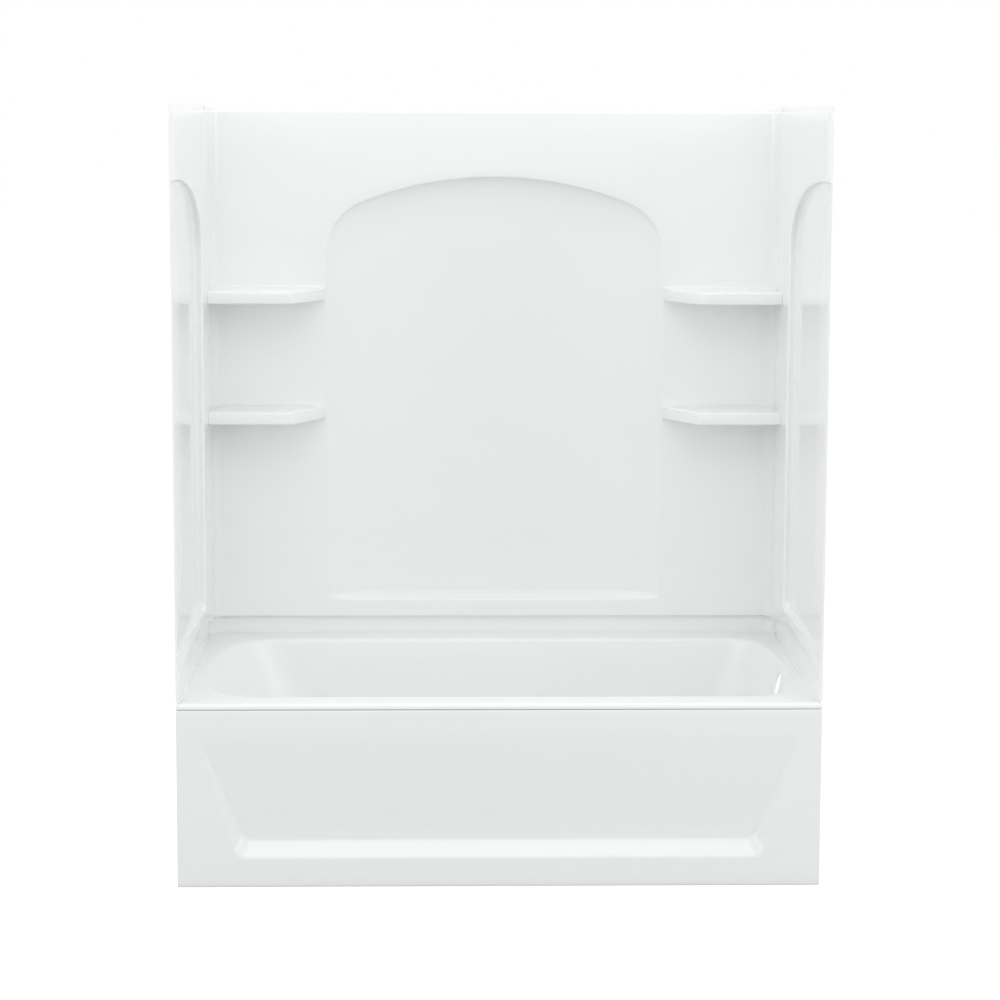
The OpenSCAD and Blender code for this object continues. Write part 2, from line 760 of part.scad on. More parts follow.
module bearer(y, x1) {
    color(timber) difference() {
        block([board_x0, y - bearer_w / 2, 0], [x1, y + bearer_w / 2, board_low]);
        for (x = screw_xs) translate([x, y, board_low - bearer_screw_l - pilot_extra])
            cylinder(r = screw_r, h = bearer_screw_l + pilot_extra + over);
    }
}

module front_bearer() { bearer(bearer_ys[0], board_x1); }
module middle_bearer() { bearer(bearer_ys[1], drain_x - drain_r - hole_ring_w - bearer_gap); }
module rear_bearer() { bearer(bearer_ys[2], board_x1); }

module bearer_screws() {
    color(steel) for (x = screw_xs, y = bearer_ys) translate([x, y, 0]) {
        translate([0, 0, board_low - bearer_screw_l])
            cylinder(r = screw_r, h = bearer_screw_l + board_t - screw_head_h);
        translate([0, 0, board_top - screw_head_h]) cylinder(r = screw_head_r, h = screw_head_h);
    }
}

// Bar that stiffens the front of the deck and carries the apron clips
clip_xs = spread(-bar_half_l, bar_half_l, clip_count);
clip_screw_z = deck_under - bar_h / 2;

module rim_bar() {
    color(timber) difference() {
        block([-bar_half_l, bar_y0, deck_under - bar_h], [bar_half_l, bar_y1, deck_under]);
        for (x = clip_xs) translate([x, bar_y0 + clip_screw_l + pilot_extra, clip_screw_z])
            rotate([90, 0, 0]) cylinder(r = screw_r, h = clip_screw_l + pilot_extra + over);
    }
}

module apron_clips() {
    color(steel) for (x = clip_xs) translate([x - clip_w / 2, 0, 0]) difference() {
        union() {
            block([0, bar_y0 - clip_t, clip_screw_z - clip_drop], [clip_w, bar_y0, apron_top + clip_t]);
            block([0, front_y + apron_return - clip_lap, apron_top], [clip_w, bar_y0, apron_top + clip_t]);
        }
        translate([clip_w / 2, bar_y0 + over, clip_screw_z]) rotate([90, 0, 0])
            cylinder(r = screw_r + hole_slack, h = clip_t + 2 * over);
    }
}

module clip_screws() {
    color(steel) for (x = clip_xs) translate([x, 0, clip_screw_z]) rotate([90, 0, 0]) {
        translate([0, 0, -bar_y0 - clip_screw_l]) cylinder(r = screw_r, h = clip_screw_l + clip_t);
        translate([0, 0, -bar_y0 + clip_t]) cylinder(r = screw_head_r, h = screw_head_h);
    }
}

// Batten on the bottom return of the apron, screwed down through it
batten_y1 = front_y + apron_return;
apron_screw_end = 40;
batten_end_gap = 20;
apron_screw_xs = spread(-half_w + apron_screw_end, half_w - apron_screw_end, apron_screw_count);
apron_screw_y = batten_y1 - batten_w / 2;

module apron_batten() {
    y0 = batten_y1 - batten_w;
    color(timber) difference() {
        block([-half_w + batten_end_gap, y0, apron_t],
              [half_w - batten_end_gap, batten_y1, apron_t + batten_h]);
        inset_body(apron_t + over);
        for (x = apron_screw_xs)
            translate([x, apron_screw_y, 0]) cylinder(r = screw_r, h = apron_t + batten_h + over);
    }
}

module apron_screws() {
    color(steel) for (x = apron_screw_xs) translate([x, apron_screw_y, 0]) {
        translate([0, 0, joined]) cylinder(r = screw_r, h = apron_t + batten_h - joined);
        translate([0, 0, apron_t + batten_h]) cylinder(r = screw_head_r, h = screw_head_h);
    }
}

// Bolts of the corner joints, with washers and nuts
bolt_y0 = end_joint_y - wall_t;
bolt_y1 = joint_y + wall_t;

module joint_bolts() {
    color(steel) for (z = joint_bolt_zs) translate([joint_bolt_x, 0, z]) rotate([90, 0, 0]) {
        translate([0, 0, -bolt_y1 - washer_t - nut_h - bolt_tail])
            cylinder(r = bolt_r, h = bolt_y1 - bolt_y0 + 2 * washer_t + nut_h + bolt_tail);
        translate([0, 0, -bolt_y0 + washer_t]) cylinder(r = nut_r, h = bolt_head_h, $fn = 6);
    }
}

module right_joint_bolts() { joint_bolts(); }
module left_joint_bolts() { mirror([1, 0, 0]) joint_bolts(); }

module joint_washers() {
    color(steel) both_ends() for (z = joint_bolt_zs, y = [bolt_y0, bolt_y1 + washer_t])
        translate([joint_bolt_x, y, z]) rotate([90, 0, 0]) difference() {
            cylinder(r = washer_r, h = washer_t);
            translate([0, 0, -over]) cylinder(r = bolt_r + hole_slack, h = washer_t + 2 * over);
        }
}

module joint_nuts() {
    color(steel) both_ends() for (z = joint_bolt_zs)
        translate([joint_bolt_x, bolt_y1 + washer_t + nut_h, z]) rotate([90, 0, 0]) difference() {
            cylinder(r = nut_r, h = nut_h, $fn = 6);
            translate([0, 0, -over]) cylinder(r = bolt_r, h = nut_h + 2 * over);
        }
}

bath_shell();
front_apron();
back_wall();
niche_panel();
corner_shelves();
wall_stiffeners();
left_end_wall();
right_end_wall();
back_deck_seal();
left_deck_seal();
right_deck_seal();
left_corner_seal();
right_corner_seal();
base_board();
bonding_pads();
front_bearer();
middle_bearer();
rear_bearer();
bearer_screws();
rim_bar();
apron_clips();
clip_screws();
apron_batten();
apron_screws();
left_joint_bolts();
right_joint_bolts();
joint_washers();
joint_nuts();
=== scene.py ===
# %% [markdown]
# An alcove bath with a moulded wall surround
#
# The real object is five glossy white mouldings: a bath, an apron in front
# of it, a back wall with an arched niche and four corner shelves, and two
# end walls with a tall recess. Each is a thin sheet with a smooth face and
# a rough back, so each is made here as one curved sheet that is welded from
# grids of points and then given its thickness away from the room. The other
# pieces, such as bearers, clips and bolts, keep their CAD shapes.

import json
import math

import bmesh
import bpy
import numpy as np
from mathutils import Euler, Matrix, Vector

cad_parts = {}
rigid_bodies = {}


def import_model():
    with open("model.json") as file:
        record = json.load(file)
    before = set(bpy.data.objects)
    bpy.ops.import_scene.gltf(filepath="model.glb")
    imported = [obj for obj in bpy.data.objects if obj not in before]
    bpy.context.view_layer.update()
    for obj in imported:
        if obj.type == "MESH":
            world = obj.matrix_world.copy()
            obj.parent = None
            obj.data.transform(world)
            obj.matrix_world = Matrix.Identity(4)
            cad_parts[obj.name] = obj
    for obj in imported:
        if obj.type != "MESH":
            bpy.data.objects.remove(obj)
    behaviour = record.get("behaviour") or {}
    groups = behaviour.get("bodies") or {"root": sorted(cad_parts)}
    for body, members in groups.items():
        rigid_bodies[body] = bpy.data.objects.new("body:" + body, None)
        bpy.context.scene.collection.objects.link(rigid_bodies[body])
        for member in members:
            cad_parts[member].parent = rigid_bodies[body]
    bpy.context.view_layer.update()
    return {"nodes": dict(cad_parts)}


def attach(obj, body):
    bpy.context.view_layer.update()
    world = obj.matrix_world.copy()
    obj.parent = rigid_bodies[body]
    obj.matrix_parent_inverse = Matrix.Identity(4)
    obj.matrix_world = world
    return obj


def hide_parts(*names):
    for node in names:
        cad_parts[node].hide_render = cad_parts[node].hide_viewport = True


for left_over in list(bpy.data.objects):
    bpy.data.objects.remove(left_over)
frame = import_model()

# %% [markdown]
# The camera
#
# The photograph was taken from 5.6 m in front and from the height of the
# top edge, so the tops of the shelves are seen from above and the upper
# ledge not at all. A long lens keeps the sides nearly parallel. The frame
# is shifted down a little, which leaves upright edges upright, and a small
# tilt does the rest of the framing.

# %% Camera
LENS, SENSOR, SHIFT = 87.33, 36, -0.105
NEAR, FAR = 0.05, 100
CAMERA_AT = (-0.137, -5.9895, 1.841)
TILT, YAW, ROLL = 6.797, 1.375, 0.219


def make_camera():
    """A camera that looks along +Y, turned right by YAW, down by TILT and rolled by ROLL degrees."""
    data = bpy.data.cameras.new("camera")
    data.lens = LENS
    data.sensor_width = SENSOR
    data.shift_y = SHIFT
    data.clip_start, data.clip_end = NEAR, FAR
    camera = bpy.data.objects.new("camera", data)
    bpy.context.scene.collection.objects.link(camera)
    camera.location = CAMERA_AT
    turn = [math.radians(a) for a in (90 - TILT, 0, -YAW)]
    aim = Euler(turn, "XYZ").to_matrix() @ Matrix.Rotation(math.radians(ROLL), 3, "Z")
    camera.rotation_mode = "QUATERNION"
    camera.rotation_quaternion = aim.to_quaternion()
    bpy.context.scene.camera = camera
    return camera


camera = make_camera()
print("camera", tuple(camera.location), "lens", LENS)

# %% [markdown]
# Sheets from grids
#
# A moulding could be modelled by hand and rounded with a subdivision
# surface, but its edges follow exact arcs and straight lines. Here every
# surface is a grid of points that numpy works out in one go, in millimetres.
# Grids of one moulding share the points along their common edges, so
# merging doubles welds them, and Solidify then adds the thickness.

# %% Grid helpers
# WELD is in metres: points closer than that become one. TINY is a length in
# millimetres that counts as nothing.
MM = 0.001
WELD, TINY = 2e-5, 1e-6
SHARP_ANGLE = math.radians(50)


def ease(t):
    """0 below 0, 1 above 1, and 3 t^2 - 2 t^3 in between."""
    t = np.clip(t, 0, 1)
    return t * t * (3 - 2 * t)


def quarter_turn(count):
    """Sine and cosine of count + 1 even steps through a right angle."""
    a = np.linspace(0, math.pi / 2, count + 1)
    return np.sin(a), np.cos(a)


def soft_min(a, b, width):
    """The smaller of a and b, blended over about width: (a + b - sqrt((a - b)^2 + width^2)) / 2."""
    return (a + b - np.sqrt((a - b) ** 2 + width * width)) / 2


def grid_quads(rows, cols, wrap):
    """Corner numbers of the quads of a grid; with wrap the last column meets the first."""
    i, j = np.meshgrid(np.arange(rows - 1), np.arange(cols if wrap else cols - 1), indexing="ij")
    k = (j + 1) % cols
    return np.stack([i * cols + j, i * cols + k, (i + 1) * cols + k, (i + 1) * cols + j], -1).reshape(-1, 4)


def sheet(points, towards=None, wrap=False, keep=None):
    """Points (rows, columns, 3) in mm as (points, quads) that face the direction towards.
    keep says for each quad whether it stays."""
    points = np.asarray(points, float)
    rows, cols = points.shape[:2]
    quads = grid_quads(rows, cols, wrap)
    flat = points.reshape(-1, 3)
    if keep is not None:
        quads = quads[keep.ravel()]
    if towards is not None:
        across = flat[quads[:, 2]] - flat[quads[:, 0]]
        along = flat[quads[:, 3]] - flat[quads[:, 1]]
        if (np.cross(across, along) @ np.array(towards, float)).sum() < 0:
            quads = quads[:, ::-1]
    return flat, quads


def new_mesh(name, points, quads):
    """A mesh of quads, written as whole arrays."""
    mesh = bpy.data.meshes.new(name)
    mesh.vertices.add(len(points))
    mesh.vertices.foreach_set("co", np.ascontiguousarray(points, np.float32).ravel())
    mesh.loops.add(quads.size)
    mesh.loops.foreach_set("vertex_index", quads.astype(np.int32).ravel())
    mesh.polygons.add(len(quads))
    mesh.polygons.foreach_set("loop_start", np.arange(0, quads.size, 4, dtype=np.int32))
    mesh.update(calc_edges=True)
    mesh.validate()
    return mesh


def moulding(name, sheets, thickness, nodes, materials):
    """Welds the sheets, thickens them away from their faces and takes the place of the CAD nodes."""
    start, points, quads = 0, [], []
    for part_points, part_quads in sheets:
        points.append(part_points * MM)
        quads.append(part_quads + start)
        start += len(part_points)
    mesh = new_mesh(name, np.concatenate(points), np.concatenate(quads))
    work = bmesh.new()
    work.from_mesh(mesh)
    bmesh.ops.remove_doubles(work, verts=work.verts, dist=WELD)
    bmesh.ops.dissolve_degenerate(work, edges=work.edges, dist=WELD / 2)
    work.to_mesh(mesh)
    work.free()
    piece = bpy.data.objects.new(name, mesh)
    bpy.context.scene.collection.objects.link(piece)
    solid = piece.modifiers.new("thickness", "SOLIDIFY")
    solid.thickness = thickness * MM
    solid.offset = -1
    solid.material_offset = 1
    for material in materials:
        mesh.materials.append(material)
    made = bpy.data.meshes.new_from_object(piece.evaluated_get(bpy.context.evaluated_depsgraph_get()))
    piece.modifiers.clear()
    piece.data = made
    bpy.data.meshes.remove(mesh)
    made.name = name
    made.polygons.foreach_set("use_smooth", np.ones(len(made.polygons), bool))
    made.set_sharp_from_angle(angle=SHARP_ANGLE)
    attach(piece, "root")
    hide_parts(*nodes)
    print(name, len(made.polygons), "faces")
    return piece


# %% [markdown]
# Shader maths
#
# Every finish below is a few lines of arithmetic on noise. A small class
# stands for a socket, so that a sum or a product of two of them adds its
# Math node, and one method adds any other node.

# %% Shader helper
class Shade:
    """A socket of a node tree. Sums, differences and products with it add Math nodes."""

    def __init__(self, tree, socket=None):
        self.tree, self.socket = tree, socket

    def node(self, kind, settings=None, inputs=None, out=0):
        """A node of a type: its settings are set first, then each input gets a value or a link."""
        made = self.tree.nodes.new("ShaderNode" + kind)
        for name, value in (settings or {}).items():
            if name == "stops":
                steps = made.color_ramp.elements
                steps[0].position, steps[-1].position = value[0][0], value[-1][0]
                steps[0].color, steps[-1].color = value[0][1], value[-1][1]
                for place, colour in value[1:-1]:
                    steps.new(place).color = colour
            else:
                setattr(made, name, value)
        for name, value in (inputs or {}).items():
            if isinstance(value, Shade):
                self.tree.links.new(value.socket, made.inputs[name])
            else:
                made.inputs[name].default_value = value
        return Shade(self.tree, made.outputs[out])

    def math(self, operation, *values):
        """A Math node."""
        return self.node("Math", {"operation": operation}, dict(enumerate(values)))

    def __add__(self, other):
        return self.math("ADD", self, other)

    def __sub__(self, other):
        return self.math("SUBTRACT", self, other)

    def __rsub__(self, other):
        return self.math("SUBTRACT", other, self)

    def __mul__(self, other):
        return self.math("MULTIPLY", self, other)

    def __pow__(self, other):
        return self.math("POWER", self, other)

    __radd__, __rmul__ = __add__, __mul__

    def mix(self, low, high):
        """The colour low where this value is 0 and high where it is 1, by the colour sockets 6, 7 and 2."""
        return self.node("Mix", {"data_type": "RGBA"}, {0: self, 6: low, 7: high}, out=2)

    def ramp(self, *stops):
        """Colours at stops of (place, colour)."""
        return self.node("ValToRGB", {"stops": stops}, {"Fac": self})

    def step(self, low, high):
        """0 below low and 1 above high, smooth in between."""
        return self.node("MapRange", {"interpolation_type": "SMOOTHSTEP"},
                         {"Value": self, "From Min": low, "From Max": high})

    def scaled(self, x, y, z):
        """This vector with its parts multiplied."""
        return self.node("VectorMath", {"operation": "MULTIPLY"}, {0: self, 1: (x, y, z)})

    def noise(self, scale, detail=2.0, roughness=0.5):
        """Noise on this vector, about 0.5 in the middle."""
        return self.node("TexNoise", None, {"Vector": self, "Scale": scale, "Detail": detail,
                                            "Roughness": roughness})

    def end(self, kind):
        """Links this shader to a new output node."""
        self.tree.links.new(self.socket, self.tree.nodes.new("ShaderNode" + kind).inputs["Surface"])


def empty_tree(owner):
    """The cleared node tree of a material or of the world, to add nodes to."""
    owner.use_nodes = True
    owner.node_tree.nodes.clear()
    return Shade(owner.node_tree)


def start_material(name):
    """An empty material and its object coordinates, in metres."""
    material = bpy.data.materials.new(name)
    return material, empty_tree(material).node("TexCoord", out="Object")


def finish_material(material, place, height, depth, **inputs):
    """Adds the surface, with a bump of the given depth in metres, and links it up."""
    bump = place.node("Bump", None, {"Height": height, "Strength": 1.0, "Distance": depth})
    surface = place.node("BsdfPrincipled", None, {"Normal": bump, **inputs})
    surface.end("OutputMaterial")
    print("material", material.name, len(place.tree.nodes), "nodes")
    return material


# %% [markdown]
# Moulded gloss white
#
# The visible face of each moulding is a sprayed or drawn white skin. It is
# smooth and reflects like plastic, with a fine orange peel a few
# millimetres across and long, very low waves from the mould. Its white
# drifts by a per cent or so, and the gloss is a little lower where it was
# wiped. All of that is faint, but without it the surface looks rendered.
# The wall is glossier than the bath. The apron is the same moulded white, set a little greyer as painted
# shade, so that its well lit front and ledge don't come out brighter than the rest.

# %% Gloss white
WAVE_SHARE = 5.0


def gloss_white(name, light, shade, rough, peel):
    """A near white between the colours light and shade. rough sets the gloss, and peel the depth of
    the orange peel in metres."""
    material, place = start_material(name)
    drift = place.noise(1.7, 3.0, 0.55).step(0.3, 0.7)
    wiped = place.scaled(1.0, 1.0, 0.45).noise(9.0, 3.0, 0.6).step(0.35, 0.75)
    fine = place.noise(260.0, 2.0, 0.5)
    waves = place.noise(5.5, 1.0, 0.4)
    return finish_material(
        material, place, waves * WAVE_SHARE + fine, peel, **{
            "Base Color": drift.mix(shade, light), "Roughness": rough + wiped * 0.02 + fine * 0.01,
            "IOR": 1.49, "Specular IOR Level": 0.5})


gloss_wall = gloss_white("moulded_white_wall", light=(0.952, 0.958, 0.955, 1),
                         shade=(0.944, 0.951, 0.948, 1), rough=0.05, peel=0.000005)
gloss_bath = gloss_white("moulded_white_bath", light=(0.944, 0.948, 0.945, 1),
                         shade=(0.936, 0.941, 0.938, 1), rough=0.29, peel=0.00001)
# Painted shade: the apron's white is set darker than the bath's, to hold down its well lit front and ledge.
gloss_apron_painted_shade = gloss_white("moulded_white_apron_painted_shade", light=(0.882, 0.890, 0.884, 1),
                          shade=(0.873, 0.883, 0.876, 1), rough=0.17, peel=0.00003)


# %% [markdown]
# Fibre back
#
# The back of a moulding is glass strands in resin, rolled down by hand.
# Three layers of stretched noise, turned against each other, give short
# strands that cross, and the resin is yellowish between them.

# %% Fibre back
STRAND_ANGLES = (18, 77, 135)
STRAND_SCALE = (420.0, 34.0, 420.0)
RESIN, GLASS = (0.46, 0.43, 0.31, 1), (0.74, 0.74, 0.66, 1)


def fibre_back():
    """Resin with crossing strands: each layer is noise drawn out 12 to 1 along its own direction."""
    material, place = start_material("fibre_back")
    strands = None
    for degrees in STRAND_ANGLES:
        a = math.radians(degrees)
        turned = place.node("Mapping", None, {"Vector": place, "Rotation": (a, 2 * a, -a),
                                              "Scale": STRAND_SCALE})
        layer = turned.noise(1.0, 2.0, 0.6).step(0.5, 0.68)
        strands = layer if strands is None else strands.math("MAXIMUM", strands, layer)
    pools = place.noise(26.0, 3.0, 0.6).step(0.35, 0.7)
    return finish_material(
        material, place, strands * 0.7 + pools * 0.6, 0.0005, **{
            "Base Color": (strands * 0.65 + pools * 0.2).mix(RESIN, GLASS), "Roughness": 0.52 - pools * 0.2})


raw_back = fibre_back()

# %% [markdown]
# The back wall
#
# One moulding runs across the back and round both rear corners: a skirt
# that is set back at the foot, a niche with an arched top that scoops
# towards the room, and four shelves. It could be cut and joined from
# solids, but the soft joins would be lost. Here each column of the grid
# stands at one place along the wall's plan, and each row is one step of the
# side profile, so a shelf is only a stretch where the profile swings out.

# %% Back wall: columns along the plan
# All sizes from here on are in millimetres. The studs stand behind the
# wall's face, and a cove of radius COVE_R rounds each rear corner.
HALF_W, FACE_Y, STUD_Y = 762, 362.5, 406.5
COVE_X, COVE_Y, COVE_R = 711, 334.5, 28
WALL_T = 4
NICHE_HALF, NICHE_DEPTH = 442, 38
SHELF_END, SHELF_DEPTH, SHELF_FRONT = 526, 138, 224.5
SLOPE_SHARES = np.array([0.03, 0.07, 0.12, 0.18, 0.3, 0.45, 0.6, 0.72, 0.8, 0.86, 0.91, 0.95, 1.0])
FRONT_SHARES = np.array([0.03, 0.06, 0.1, 0.15, 0.25, 0.4, 0.55, 0.7, 0.85])


def mirrored(values):
    """Values of the right half, put in front of themselves with their signs changed."""
    return np.concatenate([-values[::-1], values])


niche_x = NICHE_HALF * np.sin(np.linspace(0, math.pi / 2, 41))
slope_x = NICHE_HALF + (SHELF_END - NICHE_HALF) * SLOPE_SHARES
front_x = SHELF_END + (COVE_X - SHELF_END) * FRONT_SHARES
cove_a = np.radians(np.linspace(90, 0, 13))
cove_x = COVE_X + COVE_R * np.cos(cove_a)
wall_x = mirrored(np.concatenate([niche_x[1:], slope_x, front_x, cove_x]))
wall_x = np.insert(wall_x, len(wall_x) // 2, 0.0)
wall_y = np.full(len(wall_x), FACE_Y)
out_x, out_y = np.zeros(len(wall_x)), np.ones(len(wall_x))
for side, order in ((1, slice(None)), (-1, slice(None, None, -1))):
    where = slice(-len(cove_a), None) if side > 0 else slice(0, len(cove_a))
    wall_y[where] = (COVE_Y + COVE_R * np.sin(cove_a))[order]
    out_x[where] = side * np.cos(cove_a)[order]
    out_y[where] = np.sin(cove_a)[order]
print(len(wall_x), "columns")

# %% [markdown]
# Three numbers say what happens in a column: how deep the niche is there,
# as a share of its full depth, how high its arch reaches, and how far the
# shelves stand out. The niche is an oval in plan, cut off by a slope at
# each side, and the arch is one large arc between two smaller ones.

# %% Back wall: what each column holds
# The slanted end of a shelf blends into its front over SHELF_SOFT and starts
# softly over SHELF_START. PAST_END further on there is only the front.
ARCH_CROWN, ARCH_R, ARCH_CORNER = 1656, 950, 150
SIDE_SLOPE, SIDE_SOFT = 0.6, 0.05
SHELF_SOFT, SHELF_START, PAST_END = 9, 14, 40
corner_x = NICHE_HALF - ARCH_CORNER
corner_z = ARCH_CROWN - ARCH_R + math.sqrt((ARCH_R - ARCH_CORNER) ** 2 - corner_x ** 2)
turn_x = corner_x * ARCH_R / (ARCH_R - ARCH_CORNER)
reach = np.minimum(np.abs(wall_x), NICHE_HALF)
oval = np.sqrt(np.clip(1 - (reach / NICHE_HALF) ** 2, 0, 1))
side_slope = (NICHE_HALF - reach) * SIDE_SLOPE / NICHE_DEPTH
in_niche = np.clip(soft_min(oval, side_slope, SIDE_SOFT), 0, 1)
big_arc = ARCH_CROWN - ARCH_R + np.sqrt(ARCH_R ** 2 - reach ** 2)
small_arc = corner_z + np.sqrt(np.clip(ARCH_CORNER ** 2 - (reach - corner_x) ** 2, 0, None))
arch = np.where(reach > turn_x, small_arc, big_arc)
slant = (np.abs(wall_x) - NICHE_HALF) * SHELF_DEPTH / (SHELF_END - NICHE_HALF)
full = wall_y - SHELF_FRONT
stand_out = np.clip(soft_min(slant, full, SHELF_SOFT), 0, None) * ease(slant / SHELF_START)
stand_out = np.where(slant > 0, stand_out, 0)
stand_out = np.where(np.abs(wall_x) > SHELF_END + PAST_END, full, stand_out)
print("arch springs at", round(corner_z, 1), "deepest shelf", round(stand_out.max(), 1))

# %% [markdown]
# A row of the profile is a pair (out, z): out is the distance behind the
# wall face, so a shelf has negative values. Four small functions give the
# rows of the skirt, the sill, a shelf and the arch.

# %% Back wall: rows of the profile
# The skirt stands SKIRT_BACK behind the face, and WALL_EDGE is the radius
# of the face's own edges. Each shelf has a fillet at the wall, and a small
# radius on its lower and its upper edge.
SKIRT_LOW, SKIRT_TOP, SKIRT_BACK, SKIRT_FILLET = 447, 490, 14, 3
WALL_EDGE = 4
NICHE_LOW, NICHE_FLOOR, NICHE_FILLET = 532, 555, 5
SHELF_TOPS, SHELF_T = (1054, 1366), 32
SHELF_FILLET, SHELF_LOW_R, SHELF_TOP_R = 10, 4, 6
SMALL_SHELF, NO_SHELF = 30, 16
SCOOP_H, SCOOP_GAP, ARCH_START = 100, 15, 1380
WALL_TOP, TOP_R = 1828, 6
one = np.ones(len(wall_x))


def skirt_rows():
    """Up the skirt, round its fillet, forward under the face and round the lower edge of the face."""
    s, c = quarter_turn(4)
    r, e = SKIRT_FILLET, WALL_EDGE
    rows = [(SKIRT_BACK, z) for z in (SKIRT_LOW, 462, 476, 484)]
    rows += [(SKIRT_BACK - r + r * c[k], SKIRT_TOP - r + r * s[k]) for k in range(5)]
    rows += [(e - e * s[k], SKIRT_TOP + e - e * c[k]) for k in range(5)]
    return [(o * one, z * one) for o, z in rows + [(0, 500), (0, 512), (0, 524)]]


def sill_rows():
    """Over a rounded edge, back along a rising sill and up a fillet, all scaled by in_niche."""
    s, c = quarter_turn(4)
    r, e = NICHE_FILLET, WALL_EDGE
    deep, rise = NICHE_DEPTH - r - e, NICHE_FLOOR - r - NICHE_LOW - e
    rows = [(e - e * c[k], NICHE_LOW + e * s[k]) for k in range(5)]
    rows += [(e + deep * q, NICHE_LOW + e + rise * q) for q in (0.25, 0.5, 0.75, 1.0)]
    rows += [(NICHE_DEPTH - r + r * s[k], NICHE_FLOOR - r * c[k]) for k in range(1, 5)]
    even = np.linspace(NICHE_LOW, NICHE_FLOOR, len(rows))
    return [(o * in_niche, z * in_niche + flat * (1 - in_niche)) for (o, z), flat in zip(rows, even)]


def shelf_rows(top):
    """Out along the underside, round the front edge and back along the top, with a fillet at both ends.
    The radii shrink where the shelf stands out by less than SMALL_SHELF, and below NO_SHELF its rows
    spread out evenly over the wall."""
    s, c = quarter_turn(4)
    small = np.clip(stand_out / SMALL_SHELF, 0, 1)
    r, low_r, top_r, low = SHELF_FILLET * small, SHELF_LOW_R * small, SHELF_TOP_R * small, top - SHELF_T
    middle = low + 0.5 * (SHELF_LOW_R + SHELF_T - SHELF_TOP_R)
    rows = [(-(r - r * c[k]), low - r + r * s[k]) for k in range(5)]
    rows += [(-(r + (stand_out - low_r - r) * q), low * one) for q in (0.2, 0.4, 0.6, 0.8)]
    rows += [(-(stand_out - low_r + low_r * s[k]), low + low_r - low_r * c[k]) for k in range(5)]
    rows += [(-stand_out, middle * one)]
    rows += [(-(stand_out - top_r + top_r * c[k]), top - top_r + top_r * s[k]) for k in range(5)]
    rows += [(-(r + (stand_out - top_r - r) * q), top * one) for q in (0.8, 0.6, 0.4, 0.2)]
    rows += [(-(r - r * s[k]), top + r - r * c[k]) for k in range(5)]
    even = np.linspace(low - SHELF_FILLET, top + SHELF_FILLET, len(rows))
    real = ease(stand_out / NO_SHELF)
    return [(o + niche_out, z * real + flat * (1 - real)) for (o, z), flat in zip(rows, even)]


def arch_rows(start):
    """Up to the scoop, forward along a quarter ellipse of height SCOOP_H, round the edge, and up the face."""
    s, c = quarter_turn(4)
    e, face_top = WALL_EDGE, WALL_TOP - TOP_R
    scoop = np.minimum(SCOOP_H, arch - start - SCOOP_GAP)
    rows = [(niche_out, start + (arch - scoop - start) * q) for q in (0.25, 0.5, 0.75)]
    rows += [(niche_out * math.sin(a), arch - scoop * (1 - math.cos(a)))
             for a in np.linspace(math.pi / 2, math.asin(e / NICHE_DEPTH), 13)]
    rows += [(e * in_niche * (1 - s[k]), arch + e - e * c[k]) for k in range(1, 5)]
    rows += [(0 * one, arch + e + (face_top - e - arch) * q) for q in (0.1, 0.25, 0.45, 0.7, 1.0)]
    return rows


niche_out = NICHE_DEPTH * in_niche
plain = [(niche_out, z * one) for z in (580, 640, 710, 790, 870, 950, 990)]
between = [(niche_out, z * one) for z in (1095, 1140, 1200, 1260, 1300)]
rows = skirt_rows() + sill_rows() + plain + shelf_rows(SHELF_TOPS[0]) + between
rows += shelf_rows(SHELF_TOPS[1]) + arch_rows(ARCH_START)
out = np.array([o for o, _ in rows])
height = np.array([z for _, z in rows])
print(len(rows), "rows")

# %% [markdown]
# The profile is then placed: a shelf swings straight forward, also in the
# corners, where its end stays SHELF_GAP clear of the end wall's face, while
# everything else moves square to the wall. The top ledge and its nailing
# flange follow last, and they meet the studs in a square corner instead of
# a round one.

# %% Back wall: points
SHELF_GAP = 0.2
FLANGE_STEPS = (2, 7, 14)
forward = out < -0.01
past_cove = np.clip(np.abs(wall_x) - COVE_X, 0, None) / COVE_R
shelf_x = wall_x - np.sign(wall_x) * SHELF_GAP * past_cove
body = np.stack([
    np.where(forward, shelf_x, wall_x + out * out_x),
    wall_y + np.where(forward, out, out * out_y),
    height], -1)
edge = STUD_Y - WALL_T
border_x = wall_x.copy()
border_y = np.full(len(wall_x), edge)
for side in (1, -1):
    corner = np.arange(len(wall_x))[-len(cove_a):] if side > 0 else np.arange(len(cove_a))[::-1]
    t = np.linspace(0, 2, len(cove_a))
    border_x[corner] = side * (COVE_X + (HALF_W - WALL_T - COVE_X) * np.clip(t, 0, 1))
    border_y[corner] = edge + (COVE_Y - edge) * np.clip(t - 1, 0, 1)
s, c = quarter_turn(4)
lip = []
for k in range(1, 5):
    back, level = TOP_R * (1 - c[k]), WALL_TOP - TOP_R + TOP_R * s[k]
    lip.append(np.stack([wall_x + back * out_x, wall_y + back * out_y, level * one], -1))
border = np.stack([border_x, border_y, WALL_TOP * one], -1)
ledge = [lip[-1] + (border - lip[-1]) * q for q in (0.3, 0.6, 1.0)]
flange = [border + np.array([0, 0, dz]) for dz in FLANGE_STEPS]
back_sheets = [sheet(np.concatenate([body, lip, ledge, flange]), towards=(0, -1, 0))]

# %% [markdown]
# Behind the face hide the corner joint flanges, which are bolted to the
# end walls. The timber strips that hold the plain stretches off the studs
# are separate pieces and come further down.

# %% Back wall: joint flanges
JOINT_LOW, JOINT_TOP = 509, 1826
joint_z = np.linspace(JOINT_LOW, JOINT_TOP, 12)
for side in (1, -1):
    xs, zs = np.meshgrid(side * np.linspace(COVE_X + COVE_R, HALF_W, 3), joint_z)
    back_sheets.append(sheet(np.stack([xs, np.full(xs.shape, COVE_Y), zs], -1), towards=(0, -1, 0)))
back_nodes = ["back_wall", "niche_panel", "corner_shelves"]
moulding("back_wall_moulding", back_sheets, WALL_T, back_nodes, [gloss_wall, raw_back])

